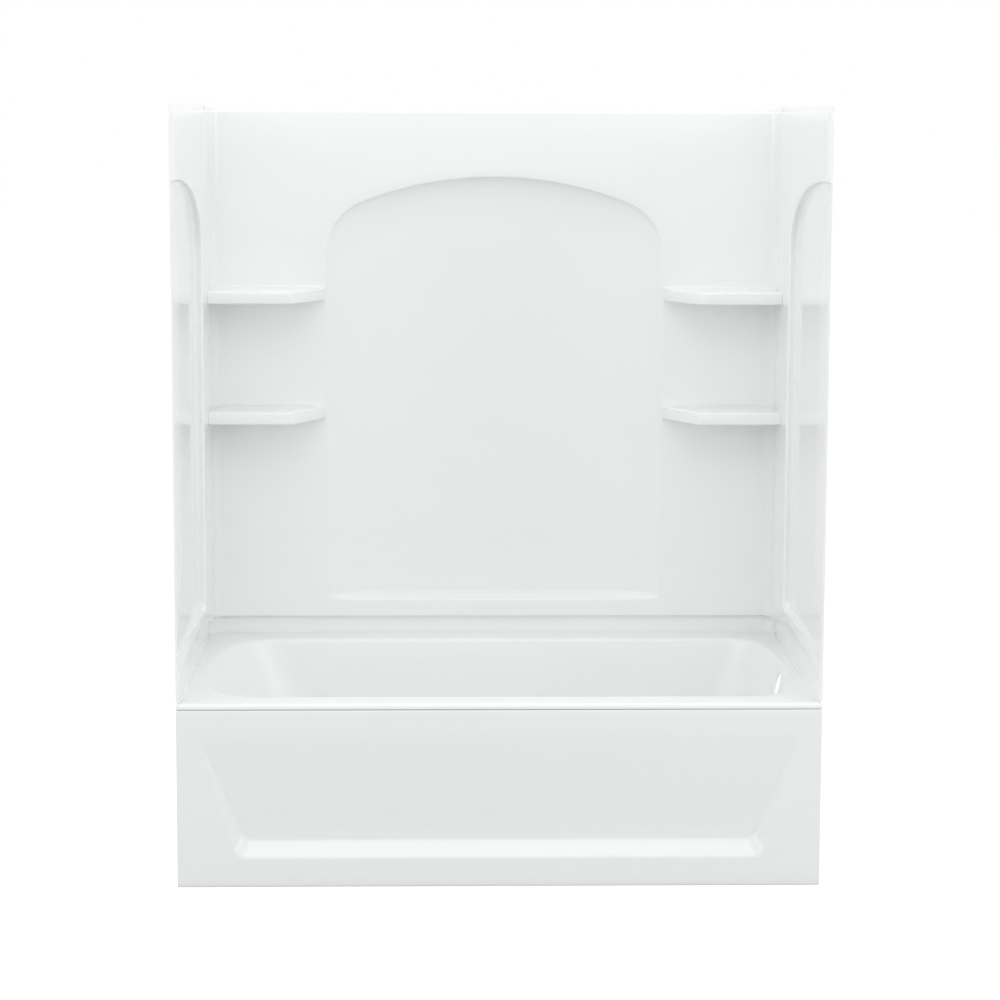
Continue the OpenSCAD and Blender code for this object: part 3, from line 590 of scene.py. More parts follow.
# %% [markdown]
# The end walls
#
# Each end wall has a tall recess that is open towards the front, with a
# quarter arch at the top, a sill at the bottom and a soft step all round.
# A grid of straight rows would cut across that curved step. So the rows
# here follow the outline of the recess, inside and outside of it, and a
# second grid makes the foot, where the wall turns out to its skirt.

# %% End wall: outline of the recess
# EDGE_R rounds the front and the top edge of the sheet, and at FOOT_Z the
# second grid takes over.
FRONT_Y, JOINT_END_Y, RECESS_Y = -406.5, 333.5, 113.5
FACE_X, FLOOR_X, SKIRT_X = 739, 757, 753
EDGE_R = 4
open_y, top_z = FRONT_Y + EDGE_R, WALL_TOP - EDGE_R
SILL_Z, SPRING_Z, ARCH_H = 563, 1473, 195
SILL_CORNER_R, RECESS_POWER = 20, 2.2
FOOT_Z = 552
LEAN_SOFT = 0.06


def recess_path():
    """Points (y, z) down the arch, where y = cos^p and z = sin^p with p = 2 / RECESS_POWER, then down
    the rear side, round the corner and forward along the sill."""
    power = 2 / RECESS_POWER
    a = np.linspace(math.pi / 2, 0, 37)
    arch = np.stack([open_y + (RECESS_Y - open_y) * np.clip(np.cos(a), 0, 1) ** power,
                     SPRING_Z + ARCH_H * np.sin(a) ** power], -1)
    rear = np.linspace((RECESS_Y, SPRING_Z), (RECESS_Y, SILL_Z + SILL_CORNER_R), 14)[1:]
    b = np.linspace(0, math.pi / 2, 11)[1:]
    corner = np.stack([RECESS_Y - SILL_CORNER_R * (1 - np.cos(b)),
                       SILL_Z + SILL_CORNER_R * (1 - np.sin(b))], -1)
    sill = np.linspace((RECESS_Y - SILL_CORNER_R, SILL_Z), (open_y, SILL_Z), 23)[1:]
    return np.concatenate([arch, rear, corner, sill]), (len(arch), len(rear), len(corner), len(sill))


path, (n_arch, n_rear, n_corner, n_sill) = recess_path()
steps = np.gradient(path, axis=0)
normal = np.stack([-steps[:, 1], steps[:, 0]], -1) / np.linalg.norm(steps, axis=1)[:, None]
normal[0], normal[-1] = (0, 1), (0, -1)
print(len(path), "points round the recess, first normal", normal[1].round(2))


def lean_out(y):
    """0 behind the recess and 1 at the front edge, with a soft start."""
    t = (RECESS_Y - np.asarray(y, float)) / (RECESS_Y - FRONT_Y)
    return -soft_min(-t, 0.0, LEAN_SOFT)


# %% [markdown]
# Above the recess the face leans outwards by 10 mm over its length, and
# below it by 17 mm, so the step fades away along the sill. The step itself
# is a round edge, a short wall and a wider fillet.

# %% End wall: upper grid
# The step is FULL_STEP high where the face doesn't lean, and its two radii
# shrink with it.
LEAN_ABOVE, LEAN_BELOW = 10, 17
FULL_STEP, STEP_FILLET, STEP_EDGE = 18, 8, 6
number = np.arange(len(path))
below = ease((number - n_arch - n_rear) / n_corner)
lean = LEAN_ABOVE + (LEAN_BELOW - LEAN_ABOVE) * below


def face_x(y, lean):
    """Place of the main face: FACE_X plus its lean."""
    return FACE_X + lean * lean_out(y)


rise = FLOOR_X - face_x(path[:, 0], lean)
share = rise / FULL_STEP


def step_grid():
    """Rows from the recess floor outwards over the step: an offset along the normal and a place x."""
    s, c = quarter_turn(5)
    fillet, round_edge = STEP_FILLET * share, STEP_EDGE * share
    rows = [(-fillet * (1 - c[k]), FLOOR_X - fillet * (1 - s[k])) for k in range(5, -1, -1)]
    rows += [(np.zeros(len(path)), FLOOR_X - rise * 0.55)]
    rows += [(round_edge * (1 - s[k]), FLOOR_X - rise + round_edge * (1 - c[k])) for k in range(5, -1, -1)]
    return rows


band = [np.concatenate([x[:, None], path + normal * e[:, None]], 1) for e, x in step_grid()]
print("step rows", len(band), "floor", band[0][:2].round(1).tolist())

# %% End wall: inside and outside the step
# TOP_SHARE of the arch's points head for the top edge, and the rest of them
# for the rear joint.
TOP_SHARE = 0.72
inner = band[0]
walked = np.concatenate([[0], np.cumsum(np.linalg.norm(np.diff(path, axis=0), axis=1))])
walked /= walked[-1]
opening = np.stack([np.full(len(path), float(FLOOR_X)), np.full(len(path), open_y),
                    inner[0, 2] + (inner[-1, 2] - inner[0, 2]) * walked], -1)
inside = [opening + (inner - opening) * q for q in (0.0, 0.3, 0.6, 0.85)]


def outer_border():
    """Points (y, z) on the rectangle round the step: along the top, down the rear joint and forward
    along the foot."""
    first = int(n_arch * TOP_SHARE)
    half = n_corner // 2
    top = np.linspace((open_y, top_z), (JOINT_END_Y, top_z), first)
    count = n_arch - first + n_rear + half
    rear = np.linspace((JOINT_END_Y, top_z), (JOINT_END_Y, FOOT_Z), count + 1)[1:]
    start = path[n_arch + n_rear + n_corner - 1, 0]
    back_part = np.linspace(JOINT_END_Y, start, n_corner - half + 1)[1:]
    foot_y = np.concatenate([back_part, path[-n_sill:, 0]])
    foot = np.stack([foot_y, np.full(len(foot_y), float(FOOT_Z))], -1)
    return np.concatenate([top, rear, foot])


border_yz = outer_border()
outer_yz = path + normal * (STEP_EDGE * share)[:, None]
outside = []
for q in (0.06, 0.14, 0.24, 0.36, 0.5, 0.66, 0.82, 1.0):
    yz = outer_yz + (border_yz - outer_yz) * q
    yz[:, 0] = np.maximum(yz[:, 0], open_y)
    outside.append(np.concatenate([face_x(yz[:, 0], lean)[:, None], yz], 1))
upper = np.array(inside + band + outside)
upper[..., 1] = np.maximum(upper[..., 1], open_y)
print("upper grid", upper.shape)

# %% [markdown]
# Below the recess the wall turns outwards to its skirt. The turn is 41 mm
# high under the recess, and it drops and tightens towards the rear joint,
# where it meets the step in the back wall.

# %% End wall: foot
# The turn's upper end and its height under the recess, and how much lower
# and how high it is at the rear joint.
TURN_TOP, TURN_H = 546, 41
TURN_DROP, REAR_TURN_H = 56, 7
foot_y = border_yz[-(n_corner - n_corner // 2 + n_sill) - 1:, 0]
to_rear = np.clip((foot_y - RECESS_Y) / (JOINT_END_Y - RECESS_Y), 0, 1)
turn_top = TURN_TOP - TURN_DROP * to_rear
turn_low = turn_top - TURN_H + (TURN_H - REAR_TURN_H) * to_rear
foot_face = face_x(foot_y, LEAN_BELOW)
foot_rows = [(foot_y * 0 + SKIRT_X, SKIRT_LOW + (turn_low - SKIRT_LOW) * q) for q in (0.0, 0.4, 0.75)]
for q in np.linspace(0, 1, 11):
    turn_x = foot_face + (SKIRT_X - foot_face) * (1 - ease(q))
    foot_rows.append((turn_x, turn_low + (turn_top - turn_low) * q))
foot_rows += [(foot_face, turn_top + (FOOT_Z - turn_top) * q) for q in (0.4, 1.0)]
foot = np.array([np.stack([x, foot_y, z], -1) for x, z in foot_rows])

# %% [markdown]
# The front edge and the top edge are rounded, then the sheet runs out to
# the stud plane. The points of the two grids along those edges are picked
# up, so that the strip shares every one of them.

# %% End wall: rounded edges, ledge and flanges
NAIL_TOP = 1842


def edge_points(grids, axis, value):
    """The points of the grids whose coordinate on that axis is value, in order along the edge."""
    every = np.concatenate([g.reshape(-1, 3) for g in grids])
    found = every[np.abs(every[:, axis] - value) < TINY]
    along = found[:, 3 - axis]
    return found[np.unique(along.round(4), return_index=True)[1]]


front = edge_points([upper, foot], 1, open_y)
top = edge_points([upper], 2, top_z)
edge = np.concatenate([front, top[1:]])
at_front = np.arange(len(edge)) < len(front)
at_top = np.arange(len(edge)) >= len(front) - 1
reach_x = np.where(at_front & ~at_top, HALF_W, HALF_W - WALL_T).astype(float)
s, c = quarter_turn(4)
strip = []
for k in range(5):
    strip.append(np.stack([edge[:, 0] + EDGE_R * (1 - c[k]), edge[:, 1] - at_front * EDGE_R * s[k],
                           edge[:, 2] + at_top * EDGE_R * s[k]], -1))
last = strip[-1]
for q in (0.5, 1.0):
    strip.append(np.column_stack([last[:, 0] + (reach_x - last[:, 0]) * q, last[:, 1:]]))
ys, zs = np.meshgrid(np.linspace(FRONT_Y, JOINT_END_Y, 24), np.linspace(JOINT_TOP, NAIL_TOP, 3))
nail_strip = np.stack([np.full(ys.shape, float(HALF_W - WALL_T)), ys, zs], -1)
xs, zs = np.meshgrid(np.linspace(FACE_X + 2, HALF_W, 3), joint_z)
joint_strip = np.stack([xs, np.full(xs.shape, JOINT_END_Y), zs], -1)
end_parts = [(upper, (-1, 0, 0)), (foot, (-1, 0, 0)), (np.array(strip), (-0.2, -1, 1)),
             (nail_strip, (-1, 0, 0)), (joint_strip, (0, 1, 0))]
for side, side_name in ((1, "right"), (-1, "left")):
    turned = [sheet(g * (side, 1, 1), towards=(side * d[0], d[1], d[2])) for g, d in end_parts]
    moulding(side_name + "_wall_moulding", turned, WALL_T, [side_name + "_end_wall"],
             [gloss_wall, raw_back])


# %% [markdown]
# The bath
#
# One moulding from the rolled nose over the deck and round lip, down the
# leaning walls and across the floor to the drain. A box with a pushed-in
# top would lose the true slopes, so every ring here is the outline of the
# basin at one level: a rectangle with round corners whose ends bow out.
# The bend into the floor is a superellipse, flat at the wall and round
# near the floor.

# %% Bath: outline of the basin
# BASIN holds the ends and the sides of the outline at the deck. Each wall
# leans in by its LEAN over the whole depth, and the corner radii grow by
# their GROWTH. The left end is the backrest, the right end has the drain.
DECK_Z, BASIN_FLOOR, FALL = 443, 77, 5
span = DECK_Z - BASIN_FLOOR
BASIN = (-719.0, 719.0, -328.5, 292.5)
MID_Y, HALF_Y = -18.0, 310.5
LEFT_LEAN, RIGHT_LEAN, SIDE_LEAN = 150, 85, 30
LEFT_R, LEFT_GROWTH, RIGHT_R, RIGHT_GROWTH = 84, 30, 56, 40
LEFT_BOW, RIGHT_BOW, BOW_START = 68, 46, 300
BEND, LEFT_BEND = 62, 1.7
WALL_POWER = 3.2
FLOOR_ENDS = (-463.6, 572.0)
END_COLUMNS, SIDE_COLUMNS, ARC_COLUMNS = 22, 56, 12


def basin_ring(fall, bend, grow):
    """Points (x, y) of one ring: a rectangle with round corners, bowed by u^2 at its ends."""
    x0 = BASIN[0] + LEFT_LEAN * fall + BEND * LEFT_BEND * bend - grow
    x1 = BASIN[1] - RIGHT_LEAN * fall - BEND * bend + grow
    y0 = BASIN[2] + SIDE_LEAN * fall + BEND * bend - grow
    y1 = BASIN[3] - SIDE_LEAN * fall - BEND * bend + grow
    r0, r1 = LEFT_R + LEFT_GROWTH * fall + grow, RIGHT_R + RIGHT_GROWTH * fall + grow
    a = np.linspace(0, math.pi / 2, ARC_COLUMNS, endpoint=False)

    def arc(cx, cy, r, first):
        return np.stack([cx + r * np.cos(first + a), cy + r * np.sin(first + a)], -1)

    def line(p, q, count):
        return np.linspace(p, q, count, endpoint=False)

    ring = np.concatenate([
        line((x1, y0 + r1), (x1, y1 - r1), END_COLUMNS), arc(x1 - r1, y1 - r1, r1, 0),
        line((x1 - r1, y1), (x0 + r0, y1), SIDE_COLUMNS), arc(x0 + r0, y1 - r0, r0, math.pi / 2),
        line((x0, y1 - r0), (x0, y0 + r0), END_COLUMNS), arc(x0 + r0, y0 + r0, r0, math.pi),
        line((x0 + r0, y0), (x1 - r1, y0), SIDE_COLUMNS), arc(x1 - r1, y0 + r1, r1, 1.5 * math.pi)])
    u_end = (ring[:, 1] - (y0 + y1) / 2) / ((y1 - y0) / 2)
    bow = u_end ** 2 * np.clip(np.abs(ring[:, 0]) / BOW_START, 0, 1)
    ring[:, 0] += np.where(ring[:, 0] > 0, -RIGHT_BOW * bow, LEFT_BOW * bow)
    return ring


def floor_level(x):
    """The floor falls by FALL from the backrest end to the drain end."""
    return BASIN_FLOOR + FALL * (FLOOR_ENDS[1] - x) / (FLOOR_ENDS[1] - FLOOR_ENDS[0])


def basin_level(angle):
    """One ring of the basin wall at an angle from 0 at the deck to a right angle at the floor."""
    fall = math.sin(angle) ** (2 / WALL_POWER)
    bend = 1 - max(math.cos(angle), 0) ** (2 / WALL_POWER)
    ring = basin_ring(fall, bend, 0)
    return np.column_stack([ring, DECK_Z - fall * (DECK_Z - floor_level(ring[:, 0]))])


COLUMNS = len(basin_ring(0, 0, 0))
print(COLUMNS, "columns round the basin")

# %% [markdown]
# The deck ends in a rolled nose at the front. At the back and the ends it
# turns up behind the wall panels, where it is nailed to the studs. The nose
# runs round the front corners and ends where the upstand starts.

# %% Bath: rings from the outer edge to the floor
# The basin's columns start behind its front right corner, so those of the
# outer edge are moved on by CORNER_COLUMNS to face them. The first rings
# are the underside of the nose, and the upstand where there is no nose.
LIP_R = 9
NOSE_R, NOSE_H = 7, 14
UPSTAND_Z, UPSTAND_FRONT = 505, 24
UPSTAND_IN, UPSTAND_R = 5, 6
CORNER_COLUMNS = 6
UPPER_ANGLE = 0.42


def deck_border():
    """Points (x, y) on the outer edge, their inward directions, and 1 where the edge is the nose. Both
    front corners turn through an arc of NOSE_R: angle = 45 degrees * (1 + (front - side) / NOSE_R)."""
    length, width = STUD_Y - FRONT_Y, 2 * HALF_W
    near = np.array([0, NOSE_R / 2, NOSE_R, UPSTAND_FRONT - 0.5, UPSTAND_FRONT + 0.5])
    right = np.concatenate([near, np.linspace(near[-1], length, 31)[1:-1]])
    left = np.append(right[1:], length)[::-1]
    back = np.linspace(width, 0, 69)[:-1]
    frontal = np.concatenate([near[:2], np.linspace(NOSE_R, width - NOSE_R, 65), [width - NOSE_R / 2]])
    x = np.concatenate([right * 0 + HALF_W, back - HALF_W, left * 0 - HALF_W, frontal - HALF_W])
    y = np.concatenate([right + FRONT_Y, back * 0 + STUD_Y, left + FRONT_Y, frontal * 0 + FRONT_Y])
    from_side, from_front = HALF_W - np.abs(x), y - FRONT_Y
    inward = np.stack([-np.sign(x) * (from_side < 0.1), 1.0 * (from_front < 0.1) - (y > STUD_Y - 0.1)], -1)
    corner = (from_side < NOSE_R) & (from_front < NOSE_R)
    angle = math.pi / 4 * (1 + (from_front - from_side) / NOSE_R)
    outward = np.stack([np.sign(x) * np.sin(angle), -np.cos(angle)], -1)
    centre = np.stack([np.sign(x) * (HALF_W - NOSE_R), x * 0 + FRONT_Y + NOSE_R], -1)
    xy = np.where(corner[:, None], centre + NOSE_R * outward, np.stack([x, y], -1))
    inward = np.where(corner[:, None], -outward, inward)
    is_front = 1.0 * (from_front < UPSTAND_FRONT)
    return [np.roll(a, -CORNER_COLUMNS, axis=0) for a in (xy, inward, is_front)]


outer, edge_dir, is_front = deck_border()


def edge_ring(nose, upstand):
    """A ring at (inward, up) from the outer edge: nose at the front, upstand elsewhere."""
    inward = is_front * nose[0] + (1 - is_front) * upstand[0]
    level = is_front * nose[1] + (1 - is_front) * upstand[1]
    return np.column_stack([outer + edge_dir * inward[:, None], DECK_Z + level])


s, c = quarter_turn(5)
up = UPSTAND_Z - DECK_Z
rings = []
for under, part in (((1.5, 0.4), 1.0), ((0.4, 1.5), 0.8), ((0, 3), 0.6)):
    rings.append(edge_ring((under[0], under[1] - NOSE_H), (UPSTAND_IN, up * part)))
rings.append(edge_ring((0, -NOSE_R), (UPSTAND_IN, UPSTAND_R)))
for k in range(1, 6):
    back, drop = 1 - c[k], 1 - s[k]
    upstand = (UPSTAND_IN + UPSTAND_R * back, UPSTAND_R * drop)
    rings.append(edge_ring((NOSE_R * back, -NOSE_R * drop), upstand))
lip = np.insert(basin_ring(0, 0, LIP_R), 2, DECK_Z, axis=1)
rings += [rings[-1] + (lip - rings[-1]) * q for q in (0.15, 0.4, 0.7, 1.0)]
for k in range(1, 6):
    drop = LIP_R * (1 - c[k])
    rings.append(np.insert(basin_ring(drop / span, 0, LIP_R * (1 - s[k])), 2, DECK_Z - drop, axis=1))
lip_end = len(rings) - 1
first = math.asin((LIP_R / span) ** (WALL_POWER / 2))
levels = np.concatenate([np.linspace(first, UPPER_ANGLE, 9)[1:],
                         np.linspace(UPPER_ANGLE, math.pi / 2, 22)[1:]])
rings += [basin_level(a) for a in levels]
print(len(rings), "rings, lip ends at ring", lip_end)

# %% [markdown]
# The floor closes in on the drain, which is off centre, so each column
# heads for the point of the drain's rim that lies in its own direction.
# The rim dips by 3 mm, as a seat for the drain body.

# %% Bath: floor and drain
DRAIN = np.array([500.0, MID_Y])
DRAIN_R, DRAIN_END = 26, 56
SEAT_R, SEAT_RUN, SEAT_DEPTH = 47, 6, 3
BORE_EDGE_R = 2.5
floor_edge = rings[-1]
bearing = np.unwrap(np.arctan2(floor_edge[:, 1] - DRAIN[1], floor_edge[:, 0] - DRAIN[0]))
rim = np.stack([np.cos(bearing), np.sin(bearing)], -1)


def drain_ring(radius, level):
    """A circle round the drain whose points keep the columns' bearings."""
    return np.insert(DRAIN + rim * radius, 2, level, axis=1)


seat = DRAIN + rim * SEAT_R
for q in (0.15, 0.35, 0.6, 0.85, 1.0):
    xy = floor_edge[:, :2] + (seat - floor_edge[:, :2]) * q
    rings.append(np.column_stack([xy, floor_level(xy[:, 0])]))
level = float(floor_level(DRAIN[0]))
for k in range(1, 5):
    rings.append(drain_ring(SEAT_R - SEAT_RUN * k / 4, level - SEAT_DEPTH * ease(k / 4)))
low = level - SEAT_DEPTH
rings.append(drain_ring(DRAIN_R + 2 * BORE_EDGE_R, low - 0.2))
s, c = quarter_turn(4)
for k in range(5):
    rings.append(drain_ring(DRAIN_R + BORE_EDGE_R * (1 - s[k]), low - 0.3 - BORE_EDGE_R * (1 - c[k])))
rings += [drain_ring(DRAIN_R, DRAIN_END + above) for above in (4, 0)]
bath_grid = np.array(rings)
print("bath grid", bath_grid.shape, "level at the drain", round(level, 1))

# %% [markdown]
# The overflow is a round hole in the sloping drain end. A hole cut with a
# Boolean would leave long thin faces in a glossy wall. Here a patch of the
# grid is left out, and rings of points lead from its border to the circle.
# Their places across and up are blended, and the wall's own formula then
# gives how far out each one lies, so the gloss runs through unbroken.

# %% Bath: overflow hole
# HOLE_EDGE_R rounds the rim of the hole. The patch reaches HOLE_PATCH to
# both sides of the middle and from the lip down to about PATCH_LOW.
OVERFLOW_Z, OVERFLOW_R, SLOPE = 396.0, 30, math.radians(13.07)
HOLE_EDGE_R, HOLE_PATCH, PATCH_LOW = 4, 58, 348
BATH_T = 5


def drain_end_x(y, z):
    """Place of the drain end wall at a height, by the outline's right end: angle = asin(fall^(power / 2))."""
    fall = (DECK_Z - z) / span
    angle = np.arcsin(np.clip(fall, 0, 1) ** (WALL_POWER / 2))
    bend = 1 - np.cos(angle) ** (2 / WALL_POWER)
    half = HALF_Y - SIDE_LEAN * fall - BEND * bend
    return BASIN[1] - RIGHT_LEAN * fall - BEND * bend - RIGHT_BOW * ((y - MID_Y) / half) ** 2


wall_rows = np.arange(lip_end, lip_end + len(levels) + 1)
row_z = bath_grid[wall_rows, END_COLUMNS // 2 - 1, 2]
low_row = int(wall_rows[np.argmin(np.abs(row_z - PATCH_LOW))])
column_y = bath_grid[lip_end, :END_COLUMNS, 1]
col_a, col_b = (int(np.argmin(np.abs(column_y - MID_Y - away))) for away in (-HOLE_PATCH, HOLE_PATCH))
keep = np.ones((len(bath_grid) - 1, COLUMNS), bool)
keep[lip_end:low_row, col_a:col_b] = False
loop = np.concatenate([
    bath_grid[lip_end, col_a:col_b], bath_grid[lip_end:low_row, col_b],
    bath_grid[low_row, col_b:col_a:-1], bath_grid[low_row:lip_end:-1, col_a]])
turn = np.arctan2(loop[:, 2] - OVERFLOW_Z, loop[:, 1] - MID_Y)
wide = OVERFLOW_R + HOLE_EDGE_R
circle = np.stack([MID_Y + wide * np.cos(turn), OVERFLOW_Z + wide * np.sin(turn) * math.cos(SLOPE)], -1)
gap = loop[:, 0] - drain_end_x(loop[:, 1], loop[:, 2])
patch = [loop]
for q in (0.2, 0.4, 0.6, 0.8, 1.0):
    yz = loop[:, 1:] + (circle - loop[:, 1:]) * q
    patch.append(np.column_stack([drain_end_x(yz[:, 0], yz[:, 1]) + gap * (1 - q), yz]))
outwards = np.array([math.cos(SLOPE), 0, -math.sin(SLOPE)])
centre = np.array([float(drain_end_x(MID_Y, OVERFLOW_Z)), MID_Y, OVERFLOW_Z])
ring_dir = np.stack([np.sin(turn) * math.sin(SLOPE), np.cos(turn), np.sin(turn) * math.cos(SLOPE)], -1)
depth = ((patch[-1] - centre) @ outwards)[:, None] * outwards
for k in range(1, 5):
    radius = OVERFLOW_R + HOLE_EDGE_R * (1 - s[k])
    patch.append(centre + depth + ring_dir * radius + outwards * HOLE_EDGE_R * (1 - c[k]))
patch += [centre + ring_dir * OVERFLOW_R + outwards * back for back in (BATH_T - 0.5, BATH_T + 0.1)]
print("overflow patch", len(loop), "points, rows", lip_end, "to", low_row, "centre", centre.round(1).tolist())

# %% Bath: one moulding
bath_sheets = [sheet(bath_grid, wrap=True, keep=keep), sheet(np.array(patch), towards=(-1, 0, 0), wrap=True)]
moulding("bath_moulding", bath_sheets, BATH_T, ["bath_shell"], [gloss_bath, raw_back])

# %% [markdown]
# The apron
#
# A flat front with one large panel that leans inwards towards its foot,
# bounded by a sloping ledge and two facets that narrow to nothing at the
# top. The rows follow the outline of that panel, so each crease of the
# real moulding is a line of points with a small radius over it.

# %% Apron: outline of the panel
# SIDE_COUNT points at each end of the outline belong to the apron's sides,
# and the others to its foot.
APRON_TOP, RETURN_Z, PANEL_TOP, PANEL_LOW = 428.3, 425, 366, 71
PANEL_DEPTH, LEDGE_H, FACET_W, PANEL_R = 26, 36, 20, 34
LOW_X, HIGH_X = HALF_W - 139, HALF_W - 52
APRON_R, APRON_T = 4, 4
SIDE_COUNT = 23


def panel_path(inset):
    """Points (x, z) down the left side, round the lower corners and up the right side.
    inset moves the sides in by FACET_W and the foot up by LEDGE_H at full value, less towards the top."""
    x0, z0 = LOW_X - FACET_W * inset, PANEL_LOW + LEDGE_H * inset
    turn = math.pi / 2 - math.atan2(HIGH_X - x0, PANEL_TOP - z0)
    centre_x = x0 - PANEL_R * math.tan(turn / 2)
    a = np.linspace(-math.pi / 2, -math.pi / 2 + turn, 11)
    arc = np.stack([centre_x + PANEL_R * np.cos(a), z0 + PANEL_R + PANEL_R * np.sin(a)], -1)
    side = np.linspace(arc[-1], (HIGH_X, PANEL_TOP), 19)[1:]
    foot = np.linspace((0, z0), (centre_x, z0), 27)[:-1]
    right = np.concatenate([foot, arc, side])
    return np.concatenate([(right * (-1, 1))[:0:-1], right])


def panel_depth(z):
    """How far the panel lies behind the front: 0 at its top and PANEL_DEPTH above the ledge."""
    return PANEL_DEPTH * np.clip((PANEL_TOP - z) / (PANEL_TOP - PANEL_LOW - LEDGE_H), 0, 1)


outline, inner_line = panel_path(0), panel_path(1)
lean_depth = panel_depth(inner_line[:, 1])
print(len(outline), "points round the panel")

# %% Apron: facets, panel and surround
# The rounding over a crease starts CREASE away from it, and less where the
# facet is narrower than FULL_FACET. Each facet row has its share across and
# the share of the depth that rounds it off.
CREASE, FULL_FACET = 3, 12
FACET_ROWS = ((0.0, 0.025), (0.06, 0.008), (0.12, 0), (0.35, 0), (0.65, 0), (0.88, 0), (0.94, -0.008),
              (1.0, -0.025))
across = np.linalg.norm(inner_line - outline, axis=1)
crease = (CREASE * np.clip(across / FULL_FACET, 0, 1))[:, None]


def headings(start, end):
    """Unit directions from the points of start to those of end."""
    way = end - start
    return way / np.maximum(np.linalg.norm(way, axis=1), TINY)[:, None]


def surround():
    """Points (x, z) on the left end, the foot and the right end of the apron, one for each point of
    the outline."""
    x1, z0 = HALF_W - APRON_R, APRON_R
    count = len(outline) - 2 * SIDE_COUNT
    left = np.linspace((-x1, PANEL_TOP), (-x1, z0), SIDE_COUNT + 1)[:-1]
    foot = np.linspace((-x1, z0), (x1, z0), count)
    return np.concatenate([left, foot, (left * (-1, 1))[::-1]])


away = headings(inner_line, outline)
away[0], away[-1] = away[1], away[-2]
outer_xz = surround()
start = outline + away * crease
grid = []
for q in (1.0, 0.8, 0.55, 0.3, 0.14, 0.05, 0.0):
    grid.append(np.insert(start + (outer_xz - start) * q, 1, FRONT_Y, axis=1))
for q, lift in FACET_ROWS:
    xz = outline + (inner_line - outline) * q
    grid.append(np.insert(xz, 1, FRONT_Y + lean_depth * (q + lift), axis=1))
top_line = np.linspace((-HIGH_X, FRONT_Y, PANEL_TOP), (HIGH_X, FRONT_Y, PANEL_TOP), len(outline))
lean_start = inner_line + headings(outline, inner_line) * crease
lean_row = np.insert(lean_start, 1, FRONT_Y + panel_depth(lean_start[:, 1]), axis=1)
grid += [lean_row + (top_line - lean_row) * q for q in (0.0, 0.12, 0.3, 0.5, 0.7, 0.88, 1.0)]
panel_grid = np.array(grid)
print("panel grid", panel_grid.shape)

# %% [markdown]
# Above the panel the front is plain. Then all four edges are rounded and
# turn back. The front of the top return is a low rib, which narrows the gap
# under the bath's nose, and the clips hold the lower part behind it.

# %% Apron: plain top and returns
PLAIN_TOP, RIB_H = APRON_TOP - APRON_R, APRON_TOP - RETURN_Z
RIB_BACK, RIB_FOOT, RETURN_BACK = 14, 19, 38
x_line = np.concatenate([panel_grid[:7, 0, 0], top_line[1:-1, 0], panel_grid[:7, -1, 0][::-1]])
xs, zs = np.meshgrid(x_line, PANEL_TOP + (PLAIN_TOP - PANEL_TOP) * np.array([0, 0.15, 0.4, 0.7, 1.0]))
plain_top = np.stack([xs, np.full(xs.shape, FRONT_Y), zs], -1)


def rim_loop():
    """Points (x, z) on the inner border of the rounded edges and which way is out: up the left side,
    along the top, down the right side and back along the foot."""
    side_z = np.concatenate([outer_xz[:SIDE_COUNT, 1][::-1], plain_top[1:, 0, 2]])
    x1 = HALF_W - APRON_R
    left = np.stack([np.full(len(side_z), -float(x1)), side_z], -1)
    top = np.stack([x_line[1:], np.full(len(x_line) - 1, float(PLAIN_TOP))], -1)
    right = (left * (-1, 1))[:-1][::-1]
    foot = outer_xz[SIDE_COUNT:-SIDE_COUNT][::-1]
    loop = np.concatenate([left, top, right, foot])
    sideways = np.sign(loop[:, 0]) * (np.abs(loop[:, 0]) > x1 - TINY)
    upwards = 1.0 * (loop[:, 1] > PLAIN_TOP - TINY) - (loop[:, 1] < APRON_R + TINY)
    return loop, np.stack([sideways, upwards], -1)


loop_xz, out_xz = rim_loop()
s, c = quarter_turn(4)
rim_rows = []
for k in range(5):
    xz = loop_xz + out_xz * APRON_R * s[k]
    rim_rows.append(np.insert(xz, 1, FRONT_Y + APRON_R * (1 - c[k]), axis=1))
for back, drop in ((RIB_BACK, 0), (RIB_FOOT, RIB_H), (RETURN_BACK, RIB_H)):
    rim_rows.append(np.insert(xz - (out_xz > 0) * (0, drop), 1, FRONT_Y + back, axis=1))
apron_sheets = [sheet(panel_grid, towards=(0, -1, 0)), sheet(plain_top, towards=(0, -1, 0)),
                sheet(rim_rows, wrap=True, towards=(0, -1, 0))]
moulding("apron_moulding", apron_sheets, APRON_T, ["front_apron"], [gloss_apron_painted_shade, raw_back])

# %% [markdown]
# The hidden pieces
#
# Bearers, board, stiffening bar, batten, sealant, clips, bolts and screws
# have the right shape in CAD, so they stay and only get a finish. Timber is
# the most telling: growth rings about an axis beside the piece, so that they
# show as long bands on its sides and as arcs on its ends, with fine grain
# along the length and faint marks from the saw.

# %% Timber, board, sealant and zinc
# Colours stand at their places between 0 and 1 on the scale of the tone.
WOOD = ((0.0, (0.72, 0.53, 0.31, 1)), (0.45, (0.62, 0.42, 0.21, 1)), (1.0, (0.42, 0.25, 0.11, 1)))
CHIPS = ((0.1, (0.36, 0.24, 0.13, 1)), (0.5, (0.58, 0.43, 0.26, 1)), (0.9, (0.72, 0.58, 0.39, 1)))
RINGS_PER_METRE = 230.0


